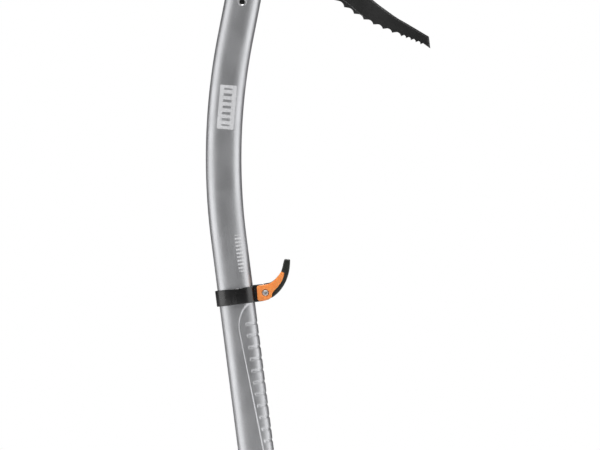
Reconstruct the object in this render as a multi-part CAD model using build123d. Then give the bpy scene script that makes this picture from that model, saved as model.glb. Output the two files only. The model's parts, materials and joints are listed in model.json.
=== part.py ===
"""Technical ice axe with a bent oval shaft, a bolted pick and adze, a spike and a sliding finger rest.

Row frame, in millimetres: the origin is the centre of the karabiner eye in the head, +Z is up from spike to
head, +X is forward towards the pick's point and Y runs across the axe. The shaft has a straight top under the
head, a long bend and a straight grip. Two local frames follow it, each with x forward and z up its own axis:
HEAD has its origin at the eye, and GRIP has its origin where the bend ends and the straight grip begins.
"""

from build123d import *
import math
import os

# Shaft: an oval tube
SHAFT_DEPTH = 30.0  # front to back
SHAFT_WIDTH = 20.0  # side to side
SHAFT_WALL = 1.6
HEAD_LEAN = 11.1  # degrees that the top leans forward
GRIP_LEAN = 7.33  # degrees that the grip leans the other way
BEND_RADIUS = 522.0  # of the shaft's centre line
EYE_TO_BEND = 86.2  # along the top's axis
EYE_TO_TUBE = 22.0  # the tube's top end lies this far under the eye
GRIP_LENGTH = 213.0  # from the bend to the tube's lower end

# Pressed grip panel on the shaft's front, in GRIP
PANEL_STEP = 0.7  # how far the flank is pressed in
PANEL_START = 56.0  # below the bend, on the front edge
PANEL_FULL = 78.0  # below the bend, where the panel is widest
PANEL_BACK = -1.0  # its rear edge there
PANEL_TAPER = 4.16  # degrees that its rear edge closes on the front edge
GROOVE_START = 74.0
GROOVE_PITCH = 9.9
GROOVE_COUNT = 14
GROOVE_WIDTH = 2.6
GROOVE_DEPTH = 0.6
GROOVE_BACK = 6.0  # the grooves run from the front edge back to here

# Head forging, in HEAD
TANG_DEPTH = 46.0  # inside the tube
TANG_WALL = 2.2
CHEEK = 4.2  # each side of the pick
HEAD_TOP = 14.5
HEAD_FRONT = 30.0
HEAD_REAR = 27.0
EYE_RADIUS = 6.5
FIT_GAP = 0.05  # between parts that are bolted, riveted or glued together

# Pick, in HEAD
PICK_THICKNESS = 4.0
PICK_FLOOR = -14.0  # underside of the root, in the head's slot
PICK_CREST = 17.5  # top of the pick in front of the palm rest
PICK_ROOT_REAR = 23.0
PICK_SPINE = [(30.0, 16.6), (48.0, 8.0), (78.0, -13.0), (108.0, -32.6), (130.0, -42.9)]
PICK_NOSE = (159.3, -53.2)  # upper corner of the tip
PICK_POINT = (162.3, -62.6)
PICK_TOOTH_LINE = [(40.0, -20.6), (76.0, -38.5), (94.2, -46.6), (112.0, -52.3), (136.7, -57.4)]
TOOTH_PITCH = 8.1  # of the first coarse tooth
TOOTH_GROWTH = 0.35  # each one behind it is this much longer
TOOTH_DEPTH = 1.9
TOOTH_COUNT = 10
FINE_PITCH = 4.4
FINE_DEPTH = 1.8
FINE_COUNT = 4
POINT_LAND = 9.0  # between the point and the first tooth
POINT_NOTCH_RUN = 1.8  # from the first tooth to the notch's corner, towards the point
POINT_NOTCH_DEPTH = 1.7
BEVEL_HEIGHT = 5.0  # ground bevel above the coarse teeth
BEVEL_EDGE = 1.6  # thickness left at the teeth
BEVEL_START = 46.0
BEVEL_END = 117.0

# Head bolts
BOLT_RADIUS = 3.0
BOLT_HEAD_RADIUS = 5.2
BOLT_HEAD_HEIGHT = 3.0
SOCKET_RADIUS = 2.3
SOCKET_DEPTH = 1.8
FRONT_BOLT_X = 20.5
REAR_BOLT_X = -18.0
NUT_ACROSS = 9.0
NUT_HEIGHT = 3.6
WASHER_RADIUS = 5.6
WASHER_HEIGHT = 0.8

# Adze with its palm rest, in HEAD
SADDLE_WALL = 2.4
SADDLE_ROOF = 2.9
SADDLE_FRONT = 14.4
SADDLE_REAR = 33.0
SADDLE_SKIRT = -7.0  # lower edge of the side walls
SKIRT_FRONT = -8.5  # front edge of the side walls
ADZE_REACH = 92.0
ADZE_DROP = 34.0  # from the palm rest to the cutting edge
ADZE_THICKNESS = 3.4
ADZE_WIDTH = 54.0
ADZE_EDGE = 0.8
WEB_THICKNESS = 6.0

# Rivets through the shaft
HEAD_RIVET_DROPS = [11.5, 33.2]  # below the tube's top end
HEAD_RIVET_RADIUS = 3.0
HEAD_RIVET_RIM = 3.8
RIVET_RECESS_RADIUS = 2.2
RIVET_RECESS_DEPTH = 3.0  # from the rim, each side
RIM_HEIGHT = 0.5
SPIKE_RIVET_RISES = [10.0, 26.0]  # above the tube's lower end
SPIKE_RIVET_RADIUS = 2.4
SPIKE_RIVET_DOME = 4.0
DOME_HEIGHT = 1.3

# Spike and its plugs, in GRIP with heights from the tube's lower end
SPIKE_THICKNESS = 5.0
SPIKE_DROP = 38.0
SPIKE_WIDTH = 26.0
SPIKE_TANG_WIDTH = 20.0
SPIKE_TANG = 42.0
SPIKE_EYE_RADIUS = 4.5
SPIKE_EYE_DROP = 12.5
PLUG_DEPTH = 38.0
PLUG_LIP = 2.4

# Finger rest, in GRIP
REST_DROP = 49.8  # below the bend, to the middle of the band
BAND_HEIGHT = 13.4
BAND_WALL = 1.8
BAND_GAP = 0.35  # sliding room round the shaft
PIVOT_STAND = 9.7  # in front of the shaft's front edge
EAR_WALL = 1.6
EAR_GAP = 0.3  # between the ears and the lever
CORE_WIDTH = 6.6  # of the lever's root between the ears
EAR_RADIUS = 6.3
EAR_RISE = 0.9  # how far the ears' shoulder stands over the band
LINER_THICKNESS = 1.0
LINER_WIDTH = 10.0
LINER_HEIGHT = 9.0
PIVOT_RADIUS = 1.5
BUSH_RADIUS = 2.4
RUNNING_GAP = 0.05
PIVOT_HEAD_RADIUS = 2.65
PIVOT_HEAD_HEIGHT = 2.1
PIVOT_SOCKET = 1.25
CAM_RADIUS = 6.4  # towards the shoe when the lever is closed
CAM_RELIEF = 0.8  # less than that when it is open
CHEEK_PLATE = 2.0  # lever side plates
PEG_RADIUS = 1.3
PEG_LENGTH = 2.0

# Lever outlines, from the pivot in GRIP's directions: the horn's tip, and points on its curves
HORN_TIP_REAR = (19.6, 26.0)
HORN_TIP_FRONT = (24.2, 25.1)
HORN_TIP_RADIUS = 1.0
HORN_OUTER = [(23.1, 19.0), (19.6, 9.5), (13.2, 0.9)]
HORN_HEEL = (5.4, -4.6)
HORN_INNER = [(16.9, 19.4), (15.4, 16.0), (11.9, 12.3), (7.0, 8.7)]
ROOT_TOP = (-1.0, 7.6)
PLATE_TIP_REAR = (15.4, 16.0)
PLATE_TIP_FRONT = (17.9, 14.4)
PLATE_OUTER = [(16.4, 10.5), (13.2, 5.8), (8.8, 1.75), (6.2, -0.6)]
PLATE_HEEL = (5.2, -3.9)
PLATE_SOLE = (-1.0, -6.5)
PLATE_BACK_LOW = (-7.2, -6.2)
PLATE_BACK_HIGH = (-6.6, 6.6)
PLATE_CORNER = 2.0
PEG_PLACES = [(10.4, 7.2), (15.0, 12.6)]

# Values that follow from those above
HALF_DEPTH = SHAFT_DEPTH / 2
PIVOT_REACH = HALF_DEPTH + PIVOT_STAND
HALF_WIDTH = SHAFT_WIDTH / 2
BORE_DEPTH = HALF_DEPTH - SHAFT_WALL
BORE_WIDTH = HALF_WIDTH - SHAFT_WALL
BEND_ANGLE = HEAD_LEAN + GRIP_LEAN
HEAD_HALF = PICK_THICKNESS / 2 + FIT_GAP + CHEEK
SADDLE_INNER = HEAD_HALF + FIT_GAP
SADDLE_HALF = SADDLE_INNER + SADDLE_WALL
SADDLE_FLOOR = HEAD_TOP + FIT_GAP
SADDLE_TOP = SADDLE_FLOOR + SADDLE_ROOF
EAR_INNER = CORE_WIDTH / 2 + EAR_GAP
EAR_OUTER = EAR_INNER + EAR_WALL
PLATE_INNER = EAR_OUTER + EAR_GAP
PLATE_OUTER_FACE = PLATE_INNER + CHEEK_PLATE

HEAD = Rot(0, HEAD_LEAN, 0)
BEND_CENTRE = (HEAD * Pos(BEND_RADIUS, 0, -EYE_TO_BEND)).position
GRIP_FORWARD = Vector(math.cos(math.radians(GRIP_LEAN)), 0, math.sin(math.radians(GRIP_LEAN)))
GRIP_ORIGIN = BEND_CENTRE - GRIP_FORWARD * BEND_RADIUS
GRIP = Pos(*GRIP_ORIGIN) * Rot(0, -GRIP_LEAN, 0)
TUBE_END = GRIP * Pos(0, 0, -GRIP_LENGTH)
REST = GRIP * Pos(0, 0, -REST_DROP)
PIVOT = REST * Pos(PIVOT_REACH, 0, 0)


def plate(outline, thickness, middle=0.0):
    """A flat plate of a face drawn in x and z, with its middle at that y."""
    return Pos(0, middle, 0) * extrude(Plane.XZ * outline, amount=thickness / 2, both=True)


def closed(*lines):
    """The face inside a closed run of lines and curves."""
    return make_face(Curve() + list(lines))


def across(x, z, radius, y_low, y_high):
    """A round bar along y between two heights."""
    bar = Cylinder(radius, y_high - y_low, rotation=(90, 0, 0))
    return Pos(x, (y_low + y_high) / 2, z) * bar


def oval(depth, width, z_low, z_high):
    """An oval bar along z, given its half depth and half width."""
    return Pos(0, 0, z_low) * extrude(Ellipse(depth, width), amount=z_high - z_low)


def bent_bar(depth, width, margin=0.0):
    """An oval bar along the whole shaft, longer by a margin at each end, in the row frame."""
    top = oval(depth, width, -EYE_TO_BEND, margin - EYE_TO_TUBE)
    axis = Axis((BEND_RADIUS, 0, -EYE_TO_BEND), (0, -1, 0))
    section = Pos(0, 0, -EYE_TO_BEND) * Ellipse(depth, width)
    bend = revolve(section, axis=axis, revolution_arc=BEND_ANGLE)
    grip = oval(depth, width, -GRIP_LENGTH - margin, 0)
    return HEAD * (top + bend) + GRIP * grip


def panel_edge(drop):
    """How far forward the grip panel's rear edge lies, at a drop below the bend."""
    return PANEL_BACK + (drop - PANEL_FULL) * math.tan(math.radians(PANEL_TAPER))


def panel_tool():
    """What is taken off the tube's flanks for the grip panel, in GRIP."""
    front = HALF_DEPTH + 1
    low = GRIP_LENGTH + 1
    middle = (HALF_DEPTH * 0.24, -(PANEL_START + PANEL_FULL * 1.3) / 2.42)
    lead_in = ThreePointArc((front, -PANEL_START), middle, (PANEL_BACK, -PANEL_FULL))
    rest = Polyline(
        (PANEL_BACK, -PANEL_FULL), (panel_edge(low), -low), (front, -low), (front, -PANEL_START)
    )
    kept = oval(HALF_DEPTH + PANEL_STEP, HALF_WIDTH - PANEL_STEP, -low, 0)
    return plate(closed(lead_in, rest), SHAFT_WIDTH + 4) - kept


def groove_tool(number):
    """One finger groove across the shaft's front, in GRIP."""
    drop = GROOVE_START + GROOVE_PITCH * number
    back = max(GROOVE_BACK, panel_edge(drop) + GROOVE_WIDTH)
    length = HALF_DEPTH + 1 - back
    slab = Pos(back + length / 2, 0, -drop) * Box(length, SHAFT_WIDTH + 2, GROOVE_WIDTH)
    kept = oval(HALF_DEPTH - GROOVE_DEPTH, HALF_WIDTH - GROOVE_DEPTH, -drop - 5, -drop + 5)
    return slab - kept


def shaft_tube():
    """The oval tube, with its panel, grooves and rivet holes."""
    tube = bent_bar(HALF_DEPTH, HALF_WIDTH) - bent_bar(BORE_DEPTH, BORE_WIDTH, margin=1.0)
    tube -= GRIP * panel_tool()
    for number in range(GROOVE_COUNT):
        tube -= GRIP * groove_tool(number)
    for drop in HEAD_RIVET_DROPS:
        hole = across(0, -EYE_TO_TUBE - drop, HEAD_RIVET_RADIUS + FIT_GAP, -SHAFT_WIDTH, SHAFT_WIDTH)
        tube -= HEAD * hole
    for rise in SPIKE_RIVET_RISES:
        hole = across(0, rise, SPIKE_RIVET_RADIUS + FIT_GAP, -SHAFT_WIDTH, SHAFT_WIDTH)
        tube -= TUBE_END * hole
    return tube


def head_outline():
    """Side view of the head forging above its collar, in HEAD."""
    corners = Polyline(
        (-HALF_DEPTH, -EYE_TO_TUBE + 2),
        (-HEAD_REAR + 1, -9),
        (-HEAD_REAR, HEAD_TOP - 5),
        (-HEAD_REAR + 6, HEAD_TOP),
        (HEAD_FRONT - 9, HEAD_TOP),
        (HEAD_FRONT, HEAD_TOP - 7),
        (HEAD_FRONT, PICK_FLOOR + 2),
        (HALF_DEPTH, -EYE_TO_TUBE + 2),
        close=True,
    )
    face = make_face(corners)
    return fillet(face.vertices(), 3.5)


def head_body():
    """The forged head: a hollow tang in the tube, a collar on its end, and two cheeks beside the pick."""
    tang_top = -EYE_TO_TUBE
    tang = oval(BORE_DEPTH - FIT_GAP, BORE_WIDTH - FIT_GAP, tang_top - TANG_DEPTH, tang_top)
    tang -= oval(BORE_DEPTH - TANG_WALL, BORE_WIDTH - TANG_WALL, tang_top - TANG_DEPTH - 1, tang_top - 3)
    collar = oval(HALF_DEPTH, HALF_WIDTH, tang_top, tang_top + 3.0)
    lower = Pos(0, 0, tang_top + 3.0) * Ellipse(HALF_DEPTH, HALF_WIDTH)
    upper = Pos(0, 0, PICK_FLOOR + 1.0) * Ellipse(HALF_DEPTH, HEAD_HALF)
    blend = loft([lower, upper])
    cheeks = plate(head_outline(), 2 * HEAD_HALF)
    cheeks = chamfer(cheeks.faces().filter_by(Axis.Y).edges(), 0.8)
    body = tang + collar + blend + cheeks
    slot = Box(200, PICK_THICKNESS + 2 * FIT_GAP, 60, align=(Align.CENTER, Align.CENTER, Align.MIN))
    body -= Pos(0, 0, PICK_FLOOR - FIT_GAP) * slot
    body -= across(0, 0, EYE_RADIUS, -SHAFT_WIDTH, SHAFT_WIDTH)
    for x in (FRONT_BOLT_X, REAR_BOLT_X):
        body -= across(x, 0, BOLT_RADIUS + FIT_GAP, -SHAFT_WIDTH, SHAFT_WIDTH)
    for drop in HEAD_RIVET_DROPS:
        body -= across(0, tang_top - drop, HEAD_RIVET_RADIUS + FIT_GAP, -SHAFT_WIDTH, SHAFT_WIDTH)
    return HEAD * body


def tooth_line():
    """The curve on which the teeth's corners lie, from the head to the last one before the point."""
    (x, z), (px, pz) = PICK_TOOTH_LINE[-1], PICK_POINT
    share = 1 - POINT_LAND / math.hypot(px - x, pz - z)
    end = (x + (px - x) * share, z + (pz - z) * share)
    return Spline(*PICK_TOOTH_LINE, end)


def gullet(line, distance, pitch, depth):
    """The notch on the point's side of the tooth whose corner lies that far back along the tooth line."""
    corner = line @ (1 - distance / line.length)
    next_corner = line @ (1 - (distance - pitch) / line.length)
    along = (next_corner - corner).normalized()
    inward = Vector(-along.Y, along.X)

    def place(a, b):
        return corner + along * (a * pitch) + inward * (b * depth)

    flat = Line(place(0, 0), place(0.42, 1))
    steep = ThreePointArc(place(0.42, 1), place(0.82, 0.78), place(1, 0))
    below = Polyline(place(1, 0), place(1, -1.2), place(0, -1.2), place(0, 0))
    return closed(flat, steep, below)


def point_notch(last):
    """The corner of the notch between the first tooth, whose corner is given, and the point."""
    along = (Vector(*PICK_POINT) - last).normalized()
    return last + along * POINT_NOTCH_RUN + Vector(-along.Y, along.X) * POINT_NOTCH_DEPTH


def pick_outline():
    """Side view of the pick, in HEAD."""
    spine = Spline((SADDLE_FRONT + 6, PICK_CREST), *PICK_SPINE, PICK_NOSE, tangents=[(1, 0), (1, -0.37)])
    line = tooth_line()
    last = line @ 1
    face = closed(
        spine,
        Line(PICK_NOSE, PICK_POINT),
        Line(PICK_POINT, point_notch(last)),
        Line(point_notch(last), last),
        line,
        Polyline(
            PICK_TOOTH_LINE[0],
            (HEAD_FRONT + 1.5, PICK_FLOOR),
            (-PICK_ROOT_REAR, PICK_FLOOR),
            (-PICK_ROOT_REAR, HEAD_TOP - 1),
            (SADDLE_FRONT + 0.3, HEAD_TOP - 1),
            (SADDLE_FRONT + 0.3, PICK_CREST),
            (SADDLE_FRONT + 6, PICK_CREST),
        ),
    )
    distance = 0.0
    for _ in range(FINE_COUNT):
        distance += FINE_PITCH
        face -= gullet(line, distance, FINE_PITCH, FINE_DEPTH)
    for number in range(TOOTH_COUNT):
        pitch = TOOTH_PITCH + TOOTH_GROWTH * number
        distance += pitch
        face -= gullet(line, distance, pitch, TOOTH_DEPTH)
    return face


def bevel_tool(side):
    """What is ground off one face of the pick above its coarse teeth, in HEAD. side is 1 or -1."""
    line = tooth_line()
    stations = 12
    sections = []
    for n in range(stations + 1):
        x = BEVEL_START + (BEVEL_END - BEVEL_START) * n / stations
        share = min(1.0, 2.2 * (stations - n) / stations + 0.02)
        height = BEVEL_HEIGHT * share
        low = line.intersect(Axis((x, 0, 0), (0, 1, 0)))
        point = low if isinstance(low, Vector) else low[0].center()
        sections.append((point, height))
    faces = []
    inner, outer = BEVEL_EDGE / 2, PICK_THICKNESS / 2 + 1
    for point, height in sections:
        slope = (PICK_THICKNESS / 2 - inner) / height if height else 0
        low_z, high_z = point.Y - 1.5, point.Y + height
        low_y = inner - slope * 1.5
        wire = Polyline(
            (point.X, side * low_y, low_z),
            (point.X, side * (PICK_THICKNESS / 2), high_z),
            (point.X, side * outer, high_z),
            (point.X, side * outer, low_z),
            close=True,
        )
        faces.append(make_face(wire))
    return loft(faces, ruled=True)


def pick():
    """The toothed steel blade, bolted in the head's slot."""
    blade = plate(pick_outline(), PICK_THICKNESS)
    for side in (1, -1):
        blade -= bevel_tool(side)
    blade -= across(0, 0, EYE_RADIUS, -SHAFT_WIDTH, SHAFT_WIDTH)
    for x in (FRONT_BOLT_X, REAR_BOLT_X):
        blade -= across(x, 0, BOLT_RADIUS + FIT_GAP, -SHAFT_WIDTH, SHAFT_WIDTH)
    return HEAD * blade


def adze_profile():
    """Side view of the adze's curved blade, in HEAD."""
    start = -SADDLE_REAR + 10
    run = ADZE_REACH + start
    radius = (run**2 + ADZE_DROP**2) / (2 * ADZE_DROP)
    centre = SADDLE_TOP - radius

    def on_arc(share, inset):
        angle = math.asin(run / radius) * share
        reach = radius - inset
        return (start - reach * math.sin(angle), centre + reach * math.cos(angle))

    top = ThreePointArc(on_arc(0, 0), on_arc(0.5, 0), on_arc(1, 0))
    low, middle, high = (on_arc(share, ADZE_THICKNESS) for share in (0.86, 0.4, 0))
    under = ThreePointArc(low, middle, high)
    edge = Line(on_arc(1, 0), on_arc(1, ADZE_EDGE))
    grind = Line(on_arc(1, ADZE_EDGE), low)
    back = Line(high, on_arc(0, 0))
    return closed(top, edge, grind, under, back)


def adze_plan():
    """Top view of the adze's blade, drawn in x and y."""
    half, neck = ADZE_WIDTH / 2, SADDLE_HALF
    end, start = -ADZE_REACH - 1, -SADDLE_REAR + 12
    sides = []
    for side in (1, -1):
        root = (-SADDLE_REAR, side * neck)
        waist = (-SADDLE_REAR - 20, side * neck * 1.45)
        wing = (-ADZE_REACH * 0.76, side * half * 0.82)
        sides += [Line((start, side * neck), root), ThreePointArc(root, waist, wing)]
        sides += [Line(wing, (end, side * half))]
    ends = [Line((start, -neck), (start, neck)), Line((end, -half), (end, half))]
    return closed(*sides, *ends)


def adze_web():
    """Side view of the rib under the adze's blade, in HEAD."""
    return closed(
        Polyline(
            (-SADDLE_REAR + 4, SADDLE_SKIRT),
            (-SADDLE_REAR + 4, SADDLE_TOP - 2),
            (-SADDLE_REAR - 16, SADDLE_TOP - 5),
            (-SADDLE_REAR - 34, SADDLE_TOP - 15),
        ),
        ThreePointArc(
            (-SADDLE_REAR - 34, SADDLE_TOP - 15),
            (-SADDLE_REAR - 9, SADDLE_SKIRT + 11),
            (-SADDLE_REAR + 4, SADDLE_SKIRT),
        ),
    )


def adze():
    """The adze: a curved blade on a saddle that straddles the rear of the head and makes its palm rest."""
    rear, front = -SADDLE_REAR, SADDLE_FRONT
    roof_length = front - rear
    roof = Pos((front + rear) / 2, 0, SADDLE_FLOOR + SADDLE_ROOF / 2) * Box(
        roof_length, 2 * SADDLE_HALF, SADDLE_ROOF
    )
    top_edges = roof.faces().sort_by(Axis.Z)[-1].edges().filter_by(Axis.X)
    roof = fillet(top_edges, SADDLE_ROOF * 0.8)
    skirt_length = SKIRT_FRONT - rear
    skirt_height = SADDLE_FLOOR - SADDLE_SKIRT
    skirt = Pos((SKIRT_FRONT + rear) / 2, 0, SADDLE_SKIRT + skirt_height / 2) * Box(
        skirt_length, 2 * SADDLE_HALF, skirt_height
    )
    lower_edges = skirt.faces().sort_by(Axis.Z)[0].edges().filter_by(Axis.Y)
    skirt = fillet(lower_edges, 5)
    pocket_length = HEAD_REAR + FIT_GAP * 4 + 20
    pocket = Pos(-HEAD_REAR - FIT_GAP * 4 + pocket_length / 2, 0, SADDLE_FLOOR / 2 - 10) * Box(
        pocket_length, 2 * SADDLE_INNER, SADDLE_FLOOR + 20
    )
    blade = plate(adze_profile(), ADZE_WIDTH + 4) & (Pos(0, 0, -60) * extrude(adze_plan(), amount=120))
    web = plate(adze_web(), WEB_THICKNESS)
    whole = roof + skirt + blade + web
    whole -= pocket
    whole -= across(REAR_BOLT_X, 0, BOLT_RADIUS + FIT_GAP, -SHAFT_WIDTH, SHAFT_WIDTH)
    return HEAD * whole


def socket_bolt(x, y_head, y_end):
    """A button-head bolt along y. Its head stands outside y_head, and its shank ends at y_end."""
    outside = -1 if y_head < 0 else 1
    crown = y_head + outside * BOLT_HEAD_HEIGHT
    head = across(x, 0, BOLT_HEAD_RADIUS, min(y_head, crown), max(y_head, crown))
    rim = head.faces().sort_by(Axis.Y)[0 if outside < 0 else -1].edges()
    head = fillet(rim, BOLT_HEAD_HEIGHT * 0.55)
    shank = across(x, 0, BOLT_RADIUS, min(y_head, y_end), max(y_head, y_end))
    floor = crown - outside * SOCKET_DEPTH
    hexagon = Pos(x, 0, 0) * RegularPolygon(SOCKET_RADIUS, 6)
    socket = plate(hexagon, SOCKET_DEPTH + 1, middle=floor + outside * (SOCKET_DEPTH + 1) / 2)
    return HEAD * (head + shank - socket)


def front_bolt():
    """The bolt through the cheeks and the pick."""
    return socket_bolt(FRONT_BOLT_X, -HEAD_HALF - WASHER_HEIGHT, HEAD_HALF + NUT_HEIGHT)


def rear_bolt():
    """The longer bolt that also holds the adze's saddle."""
    return socket_bolt(REAR_BOLT_X, -SADDLE_HALF - WASHER_HEIGHT, SADDLE_HALF + NUT_HEIGHT)


def head_nuts():
    """One nut on the end of each head bolt."""
    nuts = []
    for x, face in ((FRONT_BOLT_X, HEAD_HALF), (REAR_BOLT_X, SADDLE_HALF)):
        hexagon = Pos(x, 0, 0) * RegularPolygon(NUT_ACROSS / 2, 6, major_radius=False)
        nut = plate(hexagon, NUT_HEIGHT, middle=face + NUT_HEIGHT / 2)
        nut = chamfer(nut.faces().sort_by(Axis.Y)[-1].edges(), 0.5)
        nuts.append(HEAD * (nut - across(x, 0, BOLT_RADIUS + FIT_GAP / 2, 0, SHAFT_WIDTH)))
    return Compound(children=nuts)


def head_washers():
    """One washer under the head of each bolt."""
    washers = []
    for x, face in ((FRONT_BOLT_X, HEAD_HALF), (REAR_BOLT_X, SADDLE_HALF)):
        ring = across(x, 0, WASHER_RADIUS, -face - WASHER_HEIGHT, -face)
        washers.append(HEAD * (ring - across(x, 0, BOLT_RADIUS + FIT_GAP, -SHAFT_WIDTH, 0)))
    return Compound(children=washers)


def head_rivets():
    """Two rivets through the tube and the head's tang, each with a round recess in both ends."""
    rivets = []
    around = oval(HALF_DEPTH, HALF_WIDTH, -EYE_TO_TUBE - TANG_DEPTH, -EYE_TO_TUBE)
    for drop in HEAD_RIVET_DROPS:
        z = -EYE_TO_TUBE - drop
        reach = HALF_WIDTH + RIM_HEIGHT
        rims = across(0, z, HEAD_RIVET_RIM, -reach, reach) - around
        body = rims + across(0, z, HEAD_RIVET_RADIUS, -reach, reach)
        solid_half = reach - RIVET_RECESS_DEPTH
        body -= across(0, z, RIVET_RECESS_RADIUS, solid_half, SHAFT_WIDTH)
        body -= across(0, z, RIVET_RECESS_RADIUS, -SHAFT_WIDTH, -solid_half)
        rivets.append(HEAD * body)
    return Compound(children=rivets)


def spike_outline():
    """Side view of the spike, with heights from the tube's lower end."""
    half, tang = SPIKE_WIDTH / 2, SPIKE_TANG_WIDTH / 2
    shoulder = -PLUG_LIP - FIT_GAP
    tip = (1.0, -SPIKE_DROP)
    front = ThreePointArc((half, -SPIKE_DROP * 0.2), (half * 0.72, -SPIKE_DROP * 0.62), tip)
    back = ThreePointArc(tip, (-half * 0.55, -SPIKE_DROP * 0.66), (-half, -SPIKE_DROP * 0.24))
    rest = Polyline(
        (-half, -SPIKE_DROP * 0.24),
        (-half, shoulder),
        (-tang, shoulder),
        (-tang, SPIKE_TANG),
        (tang, SPIKE_TANG),
        (tang, shoulder),
        (half, shoulder),
        (half, -SPIKE_DROP * 0.2),
    )
    return closed(front, back, rest)


def spike():
    """The steel spike: a tang in the tube, a clip eye and a point ground from both sides."""
    blade = plate(spike_outline(), SPIKE_THICKNESS)
    ground = SPIKE_DROP * 0.5
    for side in (1, -1):
        half = SPIKE_THICKNESS / 2
        wedge = Plane.YZ * make_face(
            Polyline(
                (side * half, -SPIKE_DROP + ground),
                (side * 0.6, -SPIKE_DROP - 1),
                (side * (half + 1), -SPIKE_DROP - 1),
                (side * (half + 1), -SPIKE_DROP + ground),
                close=True,
            )
        )
        blade -= extrude(wedge, amount=SPIKE_WIDTH, both=True)
    blade -= across(0, -SPIKE_EYE_DROP, SPIKE_EYE_RADIUS, -SHAFT_WIDTH, SHAFT_WIDTH)
    for rise in SPIKE_RIVET_RISES:
        blade -= across(0, rise, SPIKE_RIVET_RADIUS + FIT_GAP, -SHAFT_WIDTH, SHAFT_WIDTH)
    return TUBE_END * blade


def spike_plug(side):
    """One half of the moulded plug beside the spike, which closes the tube. side is 1 or -1."""
    whole = oval(BORE_DEPTH - FIT_GAP, BORE_WIDTH - FIT_GAP, -FIT_GAP, PLUG_DEPTH)
    lip = oval(HALF_DEPTH, HALF_WIDTH, -PLUG_LIP, 0)
    lip = chamfer(lip.faces().sort_by(Axis.Z)[0].edges(), 0.8)
    whole += lip
    edge = SPIKE_THICKNESS / 2 + FIT_GAP
    keep = Pos(0, side * (edge + SHAFT_WIDTH / 2), 0) * Box(SHAFT_DEPTH * 2, SHAFT_WIDTH, 4 * PLUG_DEPTH)
    half = whole & keep
    for rise in SPIKE_RIVET_RISES:
        half -= across(0, rise, SPIKE_RIVET_RADIUS + FIT_GAP, -SHAFT_WIDTH, SHAFT_WIDTH)
    return TUBE_END * half


def spike_rivets():
    """Two solid rivets through the tube, both plugs and the spike."""
    rivets = []
    around = oval(HALF_DEPTH, HALF_WIDTH, 0, PLUG_DEPTH)
    for rise in SPIKE_RIVET_RISES:
        reach = HALF_WIDTH + DOME_HEIGHT
        domes = across(0, rise, SPIKE_RIVET_DOME, -reach, reach)
        domes = fillet(domes.edges().filter_by(GeomType.CIRCLE), DOME_HEIGHT * 0.7)
        shank = across(0, rise, SPIKE_RIVET_RADIUS, -HALF_WIDTH, HALF_WIDTH)
        rivets.append(TUBE_END * (domes - around + shank))
    return Compound(children=rivets)


def ear_outline():
    """Side view of the band's ears, from the band to the pivot, in the finger rest's frame."""
    half = BAND_HEIGHT / 2
    root = HALF_DEPTH * 0.8
    round_end = ThreePointArc(
        (PIVOT_REACH, -EAR_RADIUS), (PIVOT_REACH + EAR_RADIUS, 0), (PIVOT_REACH, EAR_RADIUS)
    )
    rest = Polyline(
        (PIVOT_REACH, EAR_RADIUS),
        (PIVOT_REACH - 2, half + EAR_RISE),
        (HALF_DEPTH - 1, half + EAR_RISE),
        (root, half),
        (root, -half),
        (PIVOT_REACH - 3, -half),
        (PIVOT_REACH, -EAR_RADIUS),
    )
    return closed(round_end, rest)


def rest_band():
    """The strap round the shaft, open in front between the two ears that hold the pivot."""
    half = BAND_HEIGHT / 2
    inner_depth, inner_width = HALF_DEPTH + BAND_GAP, HALF_WIDTH + BAND_GAP
    loop = oval(inner_depth + BAND_WALL, inner_width + BAND_WALL, -half, half)
    loop = fillet(loop.edges(), 0.6)
    ears = Part() + [
        plate(ear_outline(), EAR_WALL, middle=side * (EAR_INNER + EAR_OUTER) / 2) for side in (1, -1)
    ]
    band = loop + ears
    band -= oval(inner_depth, inner_width, -BAND_HEIGHT, BAND_HEIGHT)
    band -= Pos(PIVOT_REACH, 0, 0) * Box(SHAFT_DEPTH, 2 * EAR_INNER, 2 * BAND_HEIGHT)
    band -= liner_blank(FIT_GAP)
    band -= across(PIVOT_REACH, 0, PIVOT_RADIUS + FIT_GAP, -SHAFT_WIDTH, SHAFT_WIDTH)
    return REST * band


def liner_blank(gap=0.0):
    """The liner's outer shape, larger by a gap all round, in the finger rest's frame."""
    inner_depth, inner_width = HALF_DEPTH + BAND_GAP, HALF_WIDTH + BAND_GAP
    thickness, half = LINER_THICKNESS + gap, LINER_HEIGHT / 2 + gap
    ring = oval(inner_depth + thickness, inner_width + thickness, -half, half)
    ring -= oval(inner_depth - gap, inner_width - gap, -BAND_HEIGHT, BAND_HEIGHT)
    return ring & (Pos(-HALF_DEPTH, 0, 0) * Box(SHAFT_DEPTH, LINER_WIDTH + 2 * gap, BAND_HEIGHT))


def band_liner():
    """The rubber pad in the band's back, which grips the shaft."""
    return REST * liner_blank()


def pressure_shoe():
    """The block that the lever's cam presses on the shaft's front."""
    back, front = HALF_DEPTH * 0.86, PIVOT_REACH - CAM_RADIUS - EAR_GAP
    width = 2 * (EAR_INNER - FIT_GAP)
    block = Pos((back + front) / 2, 0, 0) * Box(front - back, width, BAND_HEIGHT)
    block = chamfer(block.edges().filter_by(Axis.Y), 0.6)
    block -= oval(HALF_DEPTH + BAND_GAP, HALF_WIDTH + BAND_GAP, -BAND_HEIGHT, BAND_HEIGHT)
    return REST * block


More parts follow.
